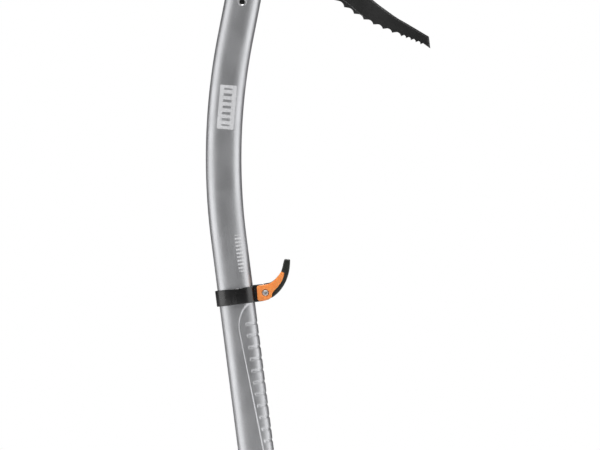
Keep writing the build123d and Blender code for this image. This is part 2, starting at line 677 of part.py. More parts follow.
def barrel_end(side):
    """The round socketed head of the pivot, outside the ear on one side, at the pivot. side is 1 or -1."""
    inner, outer = EAR_OUTER, EAR_OUTER + PIVOT_HEAD_HEIGHT
    low, high = sorted((side * inner, side * outer))
    head = across(0, 0, PIVOT_HEAD_RADIUS, low, high)
    rim = head.faces().sort_by(Axis.Y)[-1 if side > 0 else 0].edges()
    head = fillet(rim, 0.5)
    hexagon = RegularPolygon(PIVOT_SOCKET, 6)
    return head - plate(hexagon, 2.4, middle=side * outer)


def pivot_screw():
    """The screw through both ears, on which the lever turns."""
    shank = across(0, 0, PIVOT_RADIUS, -EAR_OUTER, EAR_OUTER + PIVOT_HEAD_HEIGHT * 0.4)
    return PIVOT * (barrel_end(-1) + shank)


def pivot_nut():
    """The round nut on the pivot screw's end."""
    bore = across(0, 0, PIVOT_RADIUS + FIT_GAP / 2, 0, EAR_OUTER + PIVOT_HEAD_HEIGHT * 0.4 + FIT_GAP)
    return PIVOT * (barrel_end(1) - bore)


def pivot_bush():
    """The sleeve between the ears, on which the lever runs."""
    half = EAR_INNER - FIT_GAP
    sleeve = across(0, 0, BUSH_RADIUS, -half, half)
    return PIVOT * (sleeve - across(0, 0, PIVOT_RADIUS + FIT_GAP / 2, -SHAFT_WIDTH, SHAFT_WIDTH))


def round_tip(face):
    """The same face with its two highest corners rounded."""
    return fillet(face.vertices().sort_by(Axis.Y)[-2:], HORN_TIP_RADIUS)


def horn_outline():
    """Side view of the lever's core, from the pivot: the cam, the root and the horn."""
    small = CAM_RADIUS - CAM_RELIEF
    halfway = (CAM_RADIUS - CAM_RELIEF / 2) * math.sqrt(0.5)
    outer = Spline(HORN_TIP_FRONT, *HORN_OUTER, HORN_HEEL)
    heel = Line(HORN_HEEL, (0, -small))
    relief = ThreePointArc((0, -small), (-halfway, -halfway), (-CAM_RADIUS, 0))
    cam = RadiusArc((-CAM_RADIUS, 0), (0, CAM_RADIUS), CAM_RADIUS)
    shoulder = (ROOT_TOP[0] + 3, ROOT_TOP[1] + 0.2)
    top = Polyline((0, CAM_RADIUS), ROOT_TOP, shoulder)
    inner = Spline(shoulder, *reversed(HORN_INNER), HORN_TIP_REAR)
    tip = Line(HORN_TIP_REAR, HORN_TIP_FRONT)
    return round_tip(closed(outer, heel, relief, cam, top, inner, tip))


def hook_outline():
    """Side view of the part of the horn that stands in front of the side plates, from the pivot."""
    outer = Spline(HORN_TIP_FRONT, *HORN_OUTER, HORN_HEEL)
    bed = Spline(PLATE_HEEL, *reversed(PLATE_OUTER), PLATE_TIP_FRONT)
    seat = Polyline(PLATE_TIP_FRONT, PLATE_TIP_REAR, HORN_INNER[0])
    inner = Line(HORN_INNER[0], HORN_TIP_REAR)
    tip = Line(HORN_TIP_REAR, HORN_TIP_FRONT)
    return round_tip(closed(outer, Line(HORN_HEEL, PLATE_HEEL), bed, seat, inner, tip))


def trigger_core():
    """The lever's core: a narrow root with its cam between the ears, and the wide horn in front."""
    root = plate(horn_outline(), CORE_WIDTH)
    round_ears = across(0, 0, EAR_RADIUS + EAR_GAP + 0.1, -PLATE_INNER, PLATE_INNER)
    wide = plate(horn_outline(), 2 * PLATE_INNER) - round_ears
    wide &= Pos(SHAFT_DEPTH / 2 + 2.0, 0, 0) * Box(SHAFT_DEPTH, SHAFT_WIDTH, 80)
    hook = plate(hook_outline(), 2 * PLATE_OUTER_FACE) - round_ears
    plates = plate(plate_outline(), 2 * PLATE_OUTER_FACE + 1) - plate(plate_outline(), 2 * PLATE_INNER)
    core = root + wide + hook - plates
    core -= across(0, 0, BUSH_RADIUS + RUNNING_GAP, -SHAFT_WIDTH, SHAFT_WIDTH)
    for x, z in PEG_PLACES:
        for side in (1, -1):
            low, high = sorted((side * (PLATE_INNER - PEG_LENGTH - FIT_GAP), side * PLATE_INNER))
            core -= across(x, z, PEG_RADIUS + FIT_GAP, low, high)
    return PIVOT * core


def plate_outline():
    """Side view of the lever's side plates, from the pivot."""
    outer = Spline(PLATE_TIP_FRONT, *PLATE_OUTER, PLATE_HEEL)
    sole = Spline(PLATE_HEEL, (2.8, -5.4), PLATE_SOLE)
    back = Polyline(PLATE_SOLE, PLATE_BACK_LOW, PLATE_BACK_HIGH, (ROOT_TOP[0], ROOT_TOP[1] - 0.7))
    top = Spline((ROOT_TOP[0], ROOT_TOP[1] - 0.7), (7.0, 8.5), (11.9, 12.2), PLATE_TIP_REAR)
    tip = Line(PLATE_TIP_REAR, PLATE_TIP_FRONT)
    face = closed(outer, sole, back, top, tip)
    corners = [v for v in face.vertices() if v.X < PLATE_BACK_HIGH[0] + 0.1]
    return fillet(corners, PLATE_CORNER)


def trigger_cheek(side):
    """One of the lever's coloured side plates, with two pegs into the core. side is 1 or -1."""
    cheek = plate(plate_outline(), CHEEK_PLATE, middle=side * (PLATE_INNER + CHEEK_PLATE / 2))
    cheek -= across(0, 0, PIVOT_HEAD_RADIUS + EAR_GAP, -SHAFT_WIDTH, SHAFT_WIDTH)
    for x, z in PEG_PLACES:
        low, high = sorted((side * (PLATE_INNER - PEG_LENGTH), side * (PLATE_INNER + 0.5)))
        cheek += across(x, z, PEG_RADIUS, low, high)
    return PIVOT * cheek


PARTS = {
    "shaft_tube": shaft_tube,
    "head_body": head_body,
    "pick": pick,
    "adze": adze,
    "front_bolt": front_bolt,
    "rear_bolt": rear_bolt,
    "head_nuts": head_nuts,
    "head_washers": head_washers,
    "head_rivets": head_rivets,
    "spike": spike,
    "spike_plug_left": lambda: spike_plug(1),
    "spike_plug_right": lambda: spike_plug(-1),
    "spike_rivets": spike_rivets,
    "rest_band": rest_band,
    "band_liner": band_liner,
    "pressure_shoe": pressure_shoe,
    "pivot_screw": pivot_screw,
    "pivot_nut": pivot_nut,
    "pivot_bush": pivot_bush,
    "trigger_core": trigger_core,
    "trigger_cheek_left": lambda: trigger_cheek(1),
    "trigger_cheek_right": lambda: trigger_cheek(-1),
}


def main():
    """Writes each part's STEP file."""
    os.makedirs("parts", exist_ok=True)
    for name, build in PARTS.items():
        export_step(build(), f"parts/{name}.step")


main()
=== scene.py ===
"""The looks of a technical ice axe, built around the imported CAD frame.

The axe hangs from the eye in its head, at the origin. Every piece is modelled upright in one of two local
frames, and is then placed and applied. HEAD has its origin at the eye, and GRIP where the shaft's bend ends.
In both, x points forward to the pick's side and z up the shaft. All sizes are in metres.
"""

import json
import logging
import math
from dataclasses import dataclass, field
from enum import Enum
from typing import Callable, Iterable, Sequence

import bmesh
import bpy
from mathutils import Matrix, Vector
from mathutils.bvhtree import BVHTree

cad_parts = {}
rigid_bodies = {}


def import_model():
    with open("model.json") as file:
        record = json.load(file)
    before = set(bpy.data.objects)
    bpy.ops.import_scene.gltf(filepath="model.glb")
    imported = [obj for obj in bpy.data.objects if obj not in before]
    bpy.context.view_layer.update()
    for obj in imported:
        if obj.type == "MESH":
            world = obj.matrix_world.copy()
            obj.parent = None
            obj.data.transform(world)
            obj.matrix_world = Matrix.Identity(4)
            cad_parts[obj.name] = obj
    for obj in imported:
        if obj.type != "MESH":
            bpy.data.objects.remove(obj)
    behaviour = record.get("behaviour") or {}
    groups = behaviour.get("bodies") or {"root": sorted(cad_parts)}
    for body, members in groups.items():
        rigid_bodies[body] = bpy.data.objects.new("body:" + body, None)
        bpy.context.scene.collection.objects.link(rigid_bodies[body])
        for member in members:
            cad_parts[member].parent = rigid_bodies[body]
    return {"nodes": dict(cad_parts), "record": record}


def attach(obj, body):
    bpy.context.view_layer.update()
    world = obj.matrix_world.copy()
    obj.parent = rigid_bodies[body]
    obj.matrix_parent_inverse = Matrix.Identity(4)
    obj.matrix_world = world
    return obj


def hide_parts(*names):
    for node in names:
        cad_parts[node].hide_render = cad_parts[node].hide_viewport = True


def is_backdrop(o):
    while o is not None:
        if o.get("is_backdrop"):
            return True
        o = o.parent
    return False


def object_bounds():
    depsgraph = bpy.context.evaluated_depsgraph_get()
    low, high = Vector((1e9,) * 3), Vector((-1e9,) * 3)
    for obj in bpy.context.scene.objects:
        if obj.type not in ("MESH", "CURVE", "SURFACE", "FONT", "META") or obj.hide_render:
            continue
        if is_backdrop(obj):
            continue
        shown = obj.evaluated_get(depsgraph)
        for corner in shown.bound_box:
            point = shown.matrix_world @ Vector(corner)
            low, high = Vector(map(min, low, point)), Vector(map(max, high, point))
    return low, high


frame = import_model()
LOG = logging.getLogger("ice_axe")
MM = 0.001
# WORN marks worn edges. On the pick's grind line, the lighter strip that it gives is also a painted
# highlight.
WORN = 1  # material index that a bevel gives the edges that lose their coat
BREAK_ANGLE = 28.0  # degrees from which an edge counts as sharp
TURNED_ANGLE = 40.0
CROWN_SHARE = 0.7  # a crown starts inside its socket, at this share of the socket's radius
MERGE_GAP = 0.01 * MM  # points of a modelled mesh that are nearer than this are one
CAD_MERGE_GAP = 0.002 * MM
FLAT_ANGLE = 1.5  # degrees up to which CAD facets count as one face

Piece = bpy.types.Object
Face = bpy.types.MeshPolygon
Edge = bmesh.types.BMEdge
Material = bpy.types.Material
Tree = bpy.types.NodeTree
Node = bpy.types.Node
Socket = bpy.types.NodeSocket
Ring = tuple[float, float]  # radius and y on a turned piece
Colour = tuple[float, float, float]
EdgeTest = Callable[[Vector, Edge], bool]


class Body(Enum):
    """The three rigid bodies that pieces ride on."""

    SHAFT = "shaft"
    REST = "finger_rest"
    LEVER = "trigger"


class Side(Enum):
    """Which way along y something faces. NEAR is the side with the bolt heads."""

    NEAR = -1
    FAR = 1


# ---------------------------------------------------------------- modelling helpers


def deselect() -> None:
    """Deselects every object, so that an operator acts only on what is picked next."""
    for item in bpy.context.scene.objects:
        item.select_set(False)


def pick_only(piece: Piece) -> None:
    """Makes one object the active one and the only one selected.

    Args:
        piece: The object.
    """
    deselect()
    piece.select_set(True)
    bpy.context.view_layer.objects.active = piece


def linked(name: str, data: bpy.types.ID) -> Piece:
    """A new object in the scene that shows some data, such as a mesh or a lamp."""
    piece = bpy.data.objects.new(name, data)
    bpy.context.scene.collection.objects.link(piece)
    return piece


class Edit:
    """Edit mode on one object, for a with block."""

    def __init__(self, piece: Piece) -> None:
        """Keeps the object to edit."""
        self.piece = piece

    def __enter__(self) -> "Edit":
        """Enters edit mode with everything selected."""
        pick_only(self.piece)
        bpy.ops.object.mode_set(mode="EDIT")
        bpy.ops.mesh.select_all(action="SELECT")
        return self

    def __exit__(self, *_: object) -> None:
        """Goes back to object mode."""
        bpy.ops.object.mode_set(mode="OBJECT")

    def choose(self, wanted: EdgeTest) -> int:
        """Selects the edges that a test accepts, and no others.

        Args:
            wanted: Gets an edge's middle and the edge itself.
        Returns:
            How many were selected.
        """
        bpy.ops.mesh.select_all(action="DESELECT")
        bpy.ops.mesh.select_mode(type="EDGE")
        mesh = bmesh.from_edit_mesh(self.piece.data)
        found = [edge for edge in mesh.edges if wanted((edge.verts[0].co + edge.verts[1].co) / 2, edge)]
        for edge in found:
            edge.select_set(True)
        mesh.select_flush_mode()
        bmesh.update_edit_mesh(self.piece.data)
        return len(found)


def apply_modifier(piece: Piece, kind: str, **settings: object) -> None:
    """Adds one modifier to a mesh and applies it.

    Args:
        piece: The object.
        kind: The modifier's type, such as "BEVEL".
        settings: Its properties.
    """
    pick_only(piece)
    modifier = piece.modifiers.new(kind.lower(), kind)
    for name, value in settings.items():
        setattr(modifier, name, value)
    bpy.ops.object.modifier_apply(modifier=modifier.name)


def keep_worn_slot(piece: Piece) -> None:
    """Gives a piece enough material slots for a bevel to mark worn edges."""
    while len(piece.data.materials) <= WORN:
        piece.data.materials.append(None)


def round_edges(
    piece: Piece, width: float, segments: int = 3, angle: float = 30.0, worn: bool = False
) -> None:
    """Rounds every edge sharper than an angle, then shades the piece smooth.

    Args:
        piece: The object.
        width: How far each rounding reaches from its edge.
        segments: How many steps it has.
        angle: The sharpness in degrees from which edges are rounded.
        worn: Marks the roundings as places where the coat is worn off.
    """
    if worn:
        keep_worn_slot(piece)
    apply_modifier(
        piece,
        "BEVEL",
        width=width,
        segments=segments,
        limit_method="ANGLE",
        angle_limit=math.radians(angle),
        use_clamp_overlap=True,
        miter_outer="MITER_ARC",
        material=WORN if worn else -1,
    )
    smooth(piece, angle)


def smooth(piece: Piece, angle: float = 30.0) -> None:
    """Shades a piece smooth, except across edges sharper than an angle in degrees."""
    pick_only(piece)
    bpy.ops.object.shade_smooth_by_angle(angle=math.radians(angle), keep_sharp_edges=False)


def cut(piece: Piece, cutter: Piece, operation: str = "DIFFERENCE") -> None:
    """Cuts one mesh out of another, or joins or keeps it, and removes the cutter.

    Args:
        piece: The object that changes.
        cutter: The tool.
        operation: "DIFFERENCE", "UNION" or "INTERSECT".
    """
    apply_modifier(piece, "BOOLEAN", object=cutter, operation=operation, solver="EXACT")
    bpy.data.objects.remove(cutter)


def settled(piece: Piece) -> Piece:
    """Applies an object's own placement to its mesh."""
    pick_only(piece)
    bpy.ops.object.transform_apply(location=True, rotation=True, scale=True)
    return piece


def place(piece: Piece, local: Matrix) -> Piece:
    """Moves a piece from its local frame to the row frame, and applies that to its mesh.

    Args:
        piece: The object, modelled in the local frame.
        local: The local frame's matrix.
    Returns:
        The same object, with its own origin at the row's origin.
    """
    piece.matrix_world = local @ piece.matrix_world
    return settled(piece)


def face_outwards(piece: Piece) -> None:
    """Merges doubles and turns every face of a closed mesh outwards."""
    with Edit(piece):
        bpy.ops.mesh.remove_doubles(threshold=MERGE_GAP)
        bpy.ops.mesh.normals_make_consistent(inside=False)


def bar(
    radius: float, length: float, centre: Sequence[float], sides: int = 48, turn: float = 0.0
) -> Piece:
    """A round or many-sided bar along y, as a start for a piece or as a cutter.

    Args:
        radius: Its radius, to the corners.
        length: Its length along y.
        centre: Its middle.
        sides: How many sides it has.
        turn: How far it is turned about its own axis.
    Returns:
        The new object.
    """
    deselect()
    bpy.ops.mesh.primitive_cylinder_add(
        vertices=sides, radius=radius, depth=length, location=centre, rotation=(math.pi / 2, turn, 0)
    )
    return settled(bpy.context.object)


def rounding(centre: Ring, size: float, start: float, end: float, steps: int = 5) -> list[Ring]:
    """Rings that follow an arc of a turned profile.

    Args:
        centre: The arc's centre, as radius and y.
        size: The arc's radius.
        start: Its first angle in degrees. 0 points away from the axis, and 90 towards +y.
        end: Its last angle.
        steps: How many steps it has.
    Returns:
        Radius and y of each ring.
    """
    angles = [math.radians(start + (end - start) * step / steps) for step in range(steps + 1)]
    return [(centre[0] + size * math.cos(a), centre[1] + size * math.sin(a)) for a in angles]


def turned(rings: Sequence[Ring], x: float, z: float, sides: int = 64) -> Piece:
    """A closed turned piece along y: a disc that is extruded and scaled from ring to ring.

    Args:
        rings: Radius and y of every ring, from one end to the other.
        x: Where its axis lies.
        z: Where its axis lies.
        sides: How many sides it has.
    Returns:
        The new object.
    """
    deselect()
    radius, y = rings[0]
    bpy.ops.mesh.primitive_circle_add(
        vertices=sides, radius=radius, fill_type="NGON", location=(x, y, z), rotation=(math.pi / 2, 0, 0)
    )
    piece = settled(bpy.context.object)
    with Edit(piece):
        for next_radius, next_y in rings[1:]:
            bpy.ops.mesh.extrude_region_move(TRANSFORM_OT_translate={"value": (0, next_y - y, 0)})
            scale = next_radius / radius
            bpy.ops.transform.resize(value=(scale, 1, scale), center_override=(x, next_y, z))
            radius, y = next_radius, next_y
    face_outwards(piece)
    return piece


def mirrored(rings: Sequence[Ring]) -> list[Ring]:
    """Rings from one end to the middle, followed by the same ones on the other side."""
    return [*rings, *((radius, -y) for radius, y in reversed(rings))]


def named(piece: Piece, name: str, *nodes: str) -> Piece:
    """Names a finished piece and says which CAD nodes it stands for."""
    piece.name = name
    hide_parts(*nodes)
    return piece


def round_rim(
    piece: Piece,
    wanted: EdgeTest,
    width: float,
    segments: int = 4,
    angle: float = BREAK_ANGLE,
    worn: bool = False,
) -> None:
    """Rounds the sharp edges that a test accepts.

    Args:
        piece: The object.
        wanted: Gets an edge's middle and the edge.
        width: How far the rounding reaches.
        segments: How many steps it has.
        angle: The sharpness in degrees from which edges are rounded.
        worn: Marks the rounding as a place where the coat is worn off, in a lighter colour that also stands
            for a painted highlight along the edge.
    """
    if worn:
        keep_worn_slot(piece)
    sharp = math.radians(angle)

    def is_sharp(middle: Vector, edge: Edge) -> bool:
        """Whether an edge is sharp, joins two faces and passes the test."""
        return len(edge.link_faces) == 2 and edge.calc_face_angle(0.0) > sharp and wanted(middle, edge)

    with Edit(piece) as edit:
        if edit.choose(is_sharp):
            bpy.ops.mesh.bevel(
                offset=width,
                segments=segments,
                affect="EDGES",
                clamp_overlap=False,
                miter_outer="ARC",
                material=WORN if worn else -1,
            )


def softened_copy(node: str, name: str, width: float) -> Piece:
    """A copy of a CAD node with its facets merged and its sharp edges rounded.

    Args:
        node: The CAD node.
        name: The new piece's name.
        width: How far each rounding reaches from its edge.
    Returns:
        The new object, which stands for the node.
    """
    piece = merged_copy(node)
    round_edges(piece, width, 3, BREAK_ANGLE)
    return named(piece, name, node)


def merged_copy(node: str) -> Piece:
    """A copy of a CAD node with its loose triangles merged into plain faces."""
    piece = linked(node, frame["nodes"][node].data.copy())
    piece.data.materials.clear()
    with Edit(piece):
        bpy.ops.mesh.remove_doubles(threshold=CAD_MERGE_GAP)
        bpy.ops.mesh.dissolve_limited(angle_limit=math.radians(FLAT_ANGLE))
    if piece.data.has_custom_normals:
        pick_only(piece)
        bpy.ops.mesh.customdata_custom_splitnormals_clear()
    return piece


# ---------------------------------------------------------------- node helpers and shared effects


class Nodes:
    """A small writer for one node tree."""

    def __init__(self, tree: Tree) -> None:
        """Keeps the tree."""
        self.tree = tree

    def feed(self, node: Node, inputs: dict[str | int, object]) -> None:
        """Sets a node's input sockets, or links them where they get another node's output.

        Args:
            node: The node.
            inputs: Socket to value, or to an output socket.
        """
        for key, value in inputs.items():
            socket = node.inputs[key]
            if isinstance(value, Socket):
                self.tree.links.new(value, socket)
            else:
                socket.default_value = value

    def add(self, kind: str, inputs: dict | None = None, **settings: object) -> Node:
        """Adds a node.

        Args:
            kind: The node's type, such as "ShaderNodeMath".
            inputs: Socket to value, or to another node's output socket.
            settings: The node's own properties.
        Returns:
            The new node.
        """
        node = self.tree.nodes.new(kind)
        for name, value in settings.items():
            setattr(node, name, value)
        self.feed(node, inputs or {})
        return node

    def effect(self, group: Tree, **inputs: object) -> Node:
        """Adds one of the shared effects, with its inputs named in lower case."""
        titles = {name.replace("_", " ").capitalize(): value for name, value in inputs.items()}
        return self.add("ShaderNodeGroup", titles, node_tree=group)

    def mix(self, share: object, first: object, second: object) -> Socket:
        """Mixes two colours.

        Args:
            share: How much of the second there is.
            first: The first colour, as four numbers or a socket.
            second: The second one.
        Returns:
            The output socket.
        """
        node = self.add("ShaderNodeMix", data_type="RGBA", blend_type="MIX")
        self.feed(node, {0: share, 6: first, 7: second})
        return node.outputs[2]

    def bump(self, height: Socket, depth: float, strength: float, **inputs: object) -> Socket:
        """Bends the normal by a height.

        Args:
            height: The height, from 0 to 1.
            depth: How deep that is in metres.
            strength: How much of it shows.
            inputs: The normal to start from, as Normal.
        Returns:
            The new normal.
        """
        inputs |= {"Height": height, "Distance": depth, "Strength": strength}
        return self.add("ShaderNodeBump", inputs).outputs["Normal"]

    def noise(self, point: Socket, scale: object, detail: float, **inputs: object) -> Socket:
        """Even noise over space.

        Args:
            point: Where it is read.
            scale: Its scale, a number or a socket.
            detail: How many finer layers it has.
            inputs: Its other inputs.
        Returns:
            Its value.
        """
        inputs |= {"Vector": point, "Scale": scale, "Detail": detail}
        return self.add("ShaderNodeTexNoise", inputs).outputs["Fac"]

    @property
    def point(self) -> Socket:
        """Where on the object a point lies."""
        return self.add("ShaderNodeTexCoord").outputs["Object"]

    def per_mm(self, pitch: Socket) -> Socket:
        """The scale per metre that belongs to a pitch in millimetres."""
        return self.maths("DIVIDE", 1.0 / MM, pitch)

    def maths(self, operation: str, *values: object) -> Socket:
        """Adds a Math node and returns its output.

        Args:
            operation: Such as "MULTIPLY".
            values: Up to three numbers or sockets.
        Returns:
            The output socket.
        """
        return self.add("ShaderNodeMath", dict(enumerate(values)), operation=operation).outputs[0]

    def ramp(self, value: Socket, low: float, high: float, to: tuple[float, float] = (0.0, 1.0)) -> Socket:
        """Maps a value's range low to high smoothly onto another range.

        Args:
            value: What to map.
            low: Where the ramp starts.
            high: Where it ends.
            to: What it gives at low and at high.
        Returns:
            The output socket.
        """
        inputs = {"Value": value, "From Min": low, "From Max": high, "To Min": to[0], "To Max": to[1]}
        node = self.add("ShaderNodeMapRange", inputs, interpolation_type="SMOOTHSTEP")
        return node.outputs["Result"]


def new_group(
    name: str, inputs: dict[str, float], outputs: Sequence[str]
) -> tuple[Nodes, dict[str, Socket], Node]:
    """Starts a shader node group.

    Args:
        name: The group's name.
        inputs: Float inputs and their usual values.
        outputs: Names of its float outputs.
    Returns:
        A writer for its tree, its input sockets by name, and its output node.
    """
    tree = bpy.data.node_groups.new(name, "ShaderNodeTree")
    for title, usual in inputs.items():
        socket = tree.interface.new_socket(title, in_out="INPUT", socket_type="NodeSocketFloat")
        socket.default_value = usual
    for title in outputs:
        tree.interface.new_socket(title, in_out="OUTPUT", socket_type="NodeSocketFloat")
    nodes = Nodes(tree)
    start = nodes.add("NodeGroupInput")
    return nodes, {title: start.outputs[title] for title in inputs}, nodes.add("NodeGroupOutput")


class Effects:
    """The shared surface effects, each built once as a node group."""

    speckle_edges = (0.38, 0.66)  # between which heights the speckle's mask rises
    patch_edges = (0.35, 0.7)
    panel_corner = 1.6  # how far a panel's corners are rounded, in millimetres
    panel_blur = 0.12
    bar_blur = 0.03  # as a share of the bars' pitch
    bar_offset = 100.5  # keeps the bars' count positive, and puts one in the middle

    def __init__(self) -> None:
        """Builds every group."""
        self.grain = self._grain()
        self.brushing = self._brushing()
        self.handling = self._handling()
        self.bars = self._bars()

    def _grain(self) -> Tree:
        """Fine even speckle, as on blasted, coated or moulded surfaces. Size is its pitch in millimetres."""
        nodes, given, end = new_group("Speckle", {"Size": 0.4, "Sharpness": 0.5}, ["Height", "Mask"])
        height = nodes.noise(nodes.point, nodes.per_mm(given["Size"]), 3.0, Roughness=given["Sharpness"])
        nodes.feed(end, {"Height": height, "Mask": nodes.ramp(height, *self.speckle_edges)})
        return nodes.tree

    def _brushing(self) -> Tree:
        """Fine lines along z, as drawn and anodised metal shows. Pitch is their spacing in millimetres."""
        nodes, given, end = new_group("Drawn lines", {"Pitch": 0.25, "Length": 12.0}, ["Height"])
        across, along = nodes.per_mm(given["Pitch"]), nodes.per_mm(given["Length"])
        scale = nodes.add("ShaderNodeCombineXYZ", {"X": across, "Y": across, "Z": along}).outputs[0]
        spread = nodes.add("ShaderNodeVectorMath", {0: nodes.point, 1: scale}, operation="MULTIPLY")
        nodes.feed(end, {"Height": nodes.noise(spread.outputs[0], 1.0, 2.0)})
        return nodes.tree

    def _handling(self) -> Tree:
        """Wide soft patches where hands and gloves have dulled a surface. Size is in millimetres."""
        nodes, given, end = new_group("Handling", {"Size": 30.0, "Amount": 1.0}, ["Mask"])
        patches = nodes.noise(nodes.point, nodes.per_mm(given["Size"]), 5.0, Distortion=0.6)
        mask = nodes.ramp(patches, *self.patch_edges)
        nodes.feed(end, {"Mask": nodes.maths("MULTIPLY", mask, given["Amount"])})
        return nodes.tree

    def _bars(self) -> Tree:
        """A stack of bars across a strip, from its middle's coordinates in millimetres."""
        sizes = {"Half width": 5.0, "Half length": 15.0, "Pitch": 3.0, "Share": 0.5}
        nodes, given, end = new_group("Bars", {"Across": 0.0, "Along": 0.0, **sizes}, ["Panel", "Bars"])
        beside = nodes.maths("SUBTRACT", nodes.maths("ABSOLUTE", given["Across"]), given["Half width"])
        beyond = nodes.maths("SUBTRACT", nodes.maths("ABSOLUTE", given["Along"]), given["Half length"])
        outside = nodes.maths("SMOOTH_MAX", beside, beyond, self.panel_corner)
        panel = nodes.ramp(outside, -self.panel_blur, self.panel_blur, (1.0, 0.0))
        count = nodes.maths("ADD", nodes.maths("DIVIDE", given["Along"], given["Pitch"]), self.bar_offset)
        off_middle = nodes.maths("ABSOLUTE", nodes.maths("SUBTRACT", nodes.maths("FRACT", count), 0.5))
        gap = nodes.maths("SUBTRACT", off_middle, nodes.maths("MULTIPLY", given["Share"], 0.5))
        bars = nodes.ramp(gap, -self.bar_blur, self.bar_blur, (1.0, 0.0))
        nodes.feed(end, {"Panel": panel, "Bars": nodes.maths("MULTIPLY", panel, bars)})
        return nodes.tree


@dataclass(frozen=True)
class Finish:
    """What every finish shares: a name, a colour in linear light, and how rough it is."""

    name: str
    colour: Colour
    roughness: float
    metallic: float = 0.0
    specular: float = 0.5
    speckle_size: float = 0.4
    speckle_depth: float = 0.01
    roughness_swing: float = 0.08
    tint_swing: float = 0.12

    def base(self, effects: Effects) -> tuple[Nodes, Material, Node]:
        """Starts the material with its speckled colour, roughness and bump.

        Args:
            effects: The shared node groups.
        Returns:
            A writer, the material and its Principled node.
        """
        material = bpy.data.materials.new(self.name)
        material.use_nodes = True
        nodes = Nodes(material.node_tree)
        shader = material.node_tree.nodes["Principled BSDF"]
        speckle = nodes.effect(effects.grain, size=self.speckle_size)
        patches = nodes.effect(effects.handling)
        darker, lighter = (
            (*(min(1.0, c * (1 + swing)) for c in self.colour), 1.0)
            for swing in (-self.tint_swing, self.tint_swing)
        )
        low, swing = self.roughness - self.roughness_swing, 2 * self.roughness_swing
        looks = {
            "Metallic": self.metallic,
            "Specular IOR Level": self.specular,
            "Base Color": nodes.mix(speckle.outputs["Mask"], darker, lighter),
            "Roughness": nodes.maths("MULTIPLY_ADD", patches.outputs["Mask"], swing, low),
            "Normal": nodes.bump(speckle.outputs["Height"], self.speckle_depth * MM, 1.0),
        }
        nodes.feed(shader, looks)
        return nodes, material, shader

    def build(self, effects: Effects) -> Material:
        """Makes the material.

        Args:
            effects: The shared node groups.
        Returns:
            The new material.
        """
        return self.base(effects)[1]


@dataclass(frozen=True)
class Mark:
    """An etched mark of plain bars on the shaft's flanks. Its middle and lean are in the x and z plane."""

    middle: tuple[float, float]
    lean: float
    width: float
    length: float
    pitch: float
    share: float
    filled: bool


@dataclass(frozen=True)
class AnodisedTube(Finish):
    """Satin anodised aluminium with drawn lines and etched marks."""

    marks: tuple[Mark, ...] = ()
    etch_colour: Colour = (0.86, 0.86, 0.87)
    etch_cover: float = 0.45
    etch_roughness: float = 0.2
    etch_metallic: float = -0.28
    line_depth: float = 0.004 * MM
    line_strength: float = 0.6
    tick_width: float = 0.5
    tick_length: float = 0.86
    tick_cover: float = 0.9

    def build(self, effects: Effects) -> Material:
        """Makes the material, with its etching laid over the metal."""
        nodes, material, shader = self.base(effects)
        etched = self._etching(nodes, effects)
        lines = nodes.effect(effects.brushing).outputs["Height"]
        names = ("Base Color", "Roughness", "Normal")
        metal, plain, speckled = (shader.inputs[name].links[0].from_socket for name in names)
        cover = nodes.maths("MULTIPLY", etched, self.etch_cover)
        looks = {
            "Base Color": nodes.mix(cover, metal, (*self.etch_colour, 1.0)),
            "Roughness": nodes.maths("MULTIPLY_ADD", etched, self.etch_roughness, plain),
            "Metallic": nodes.maths("MULTIPLY_ADD", etched, self.etch_metallic, self.metallic),
            "Normal": nodes.bump(lines, self.line_depth, self.line_strength, Normal=speckled),
        }
        nodes.feed(shader, looks)
        return material

    def _etching(self, nodes: Nodes, effects: Effects) -> Socket:
        """The mask of every mark together, 1 where the metal is etched."""
        masks = [self._mask(nodes, effects, mark) for mark in self.marks]
        total = masks[0]
        for mask in masks[1:]:
            total = nodes.maths("MAXIMUM", total, mask)
        return total

    def _mask(self, nodes: Nodes, effects: Effects, mark: Mark) -> Socket:
        """The mask of one mark. A filled one is a panel with plain ticks left bare, clear of its border."""
        middle = (mark.middle[0], 0.0, mark.middle[1])
        shifted = nodes.add("ShaderNodeVectorMath", {0: nodes.point, 1: middle}, operation="SUBTRACT")
        turn = {"Vector": shifted.outputs[0], "Angle": -mark.lean}
        upright = nodes.add("ShaderNodeVectorRotate", turn, rotation_type="Y_AXIS")
        parts = nodes.add("ShaderNodeSeparateXYZ", {0: upright.outputs[0]}).outputs
        across, along = nodes.maths("DIVIDE", parts["X"], MM), nodes.maths("DIVIDE", parts["Z"], MM)

        def bars(width: float, length: float) -> Node:
            """The mark's bars at a share of its width and length."""
            return nodes.effect(
                effects.bars,
                across=across,
                along=along,
                half_width=mark.width / 2 / MM * width,
                half_length=mark.length / 2 / MM * length,
                pitch=mark.pitch / MM,
                share=mark.share,
            )

        whole = bars(1.0, 1.0)
        if not mark.filled:
            return whole.outputs["Bars"]
        ticks = bars(self.tick_width, self.tick_length).outputs["Bars"]
        bare = nodes.maths("MULTIPLY", ticks, self.tick_cover)
        return nodes.maths("SUBTRACT", whole.outputs["Panel"], bare)


@dataclass(frozen=True)
class Moulding(Finish):
    """Moulded plastic or rubber, with a little light scattered inside where it is coloured."""

    scatter: float = 0.0
    scatter_scale: float = 0.8 * MM
    scatter_radius: Colour = (1.0, 0.45, 0.2)

    def build(self, effects: Effects) -> Material:
        """Makes the material."""
        nodes, material, shader = self.base(effects)
        looks = {"Weight": self.scatter, "Scale": self.scatter_scale, "Radius": self.scatter_radius}
        nodes.feed(shader, {f"Subsurface {name}": value for name, value in looks.items()})
        return material


@dataclass(frozen=True)
class CoatedSteel(Finish):
    """Tool steel with a thin dark coat that shines a little over the metal."""

    coat: float = 0.2
    coat_roughness: float = 0.45

    def build(self, effects: Effects) -> Material:
        """Makes the material."""
        nodes, material, shader = self.base(effects)
        nodes.feed(shader, {"Coat Weight": self.coat, "Coat Roughness": self.coat_roughness})
        return material


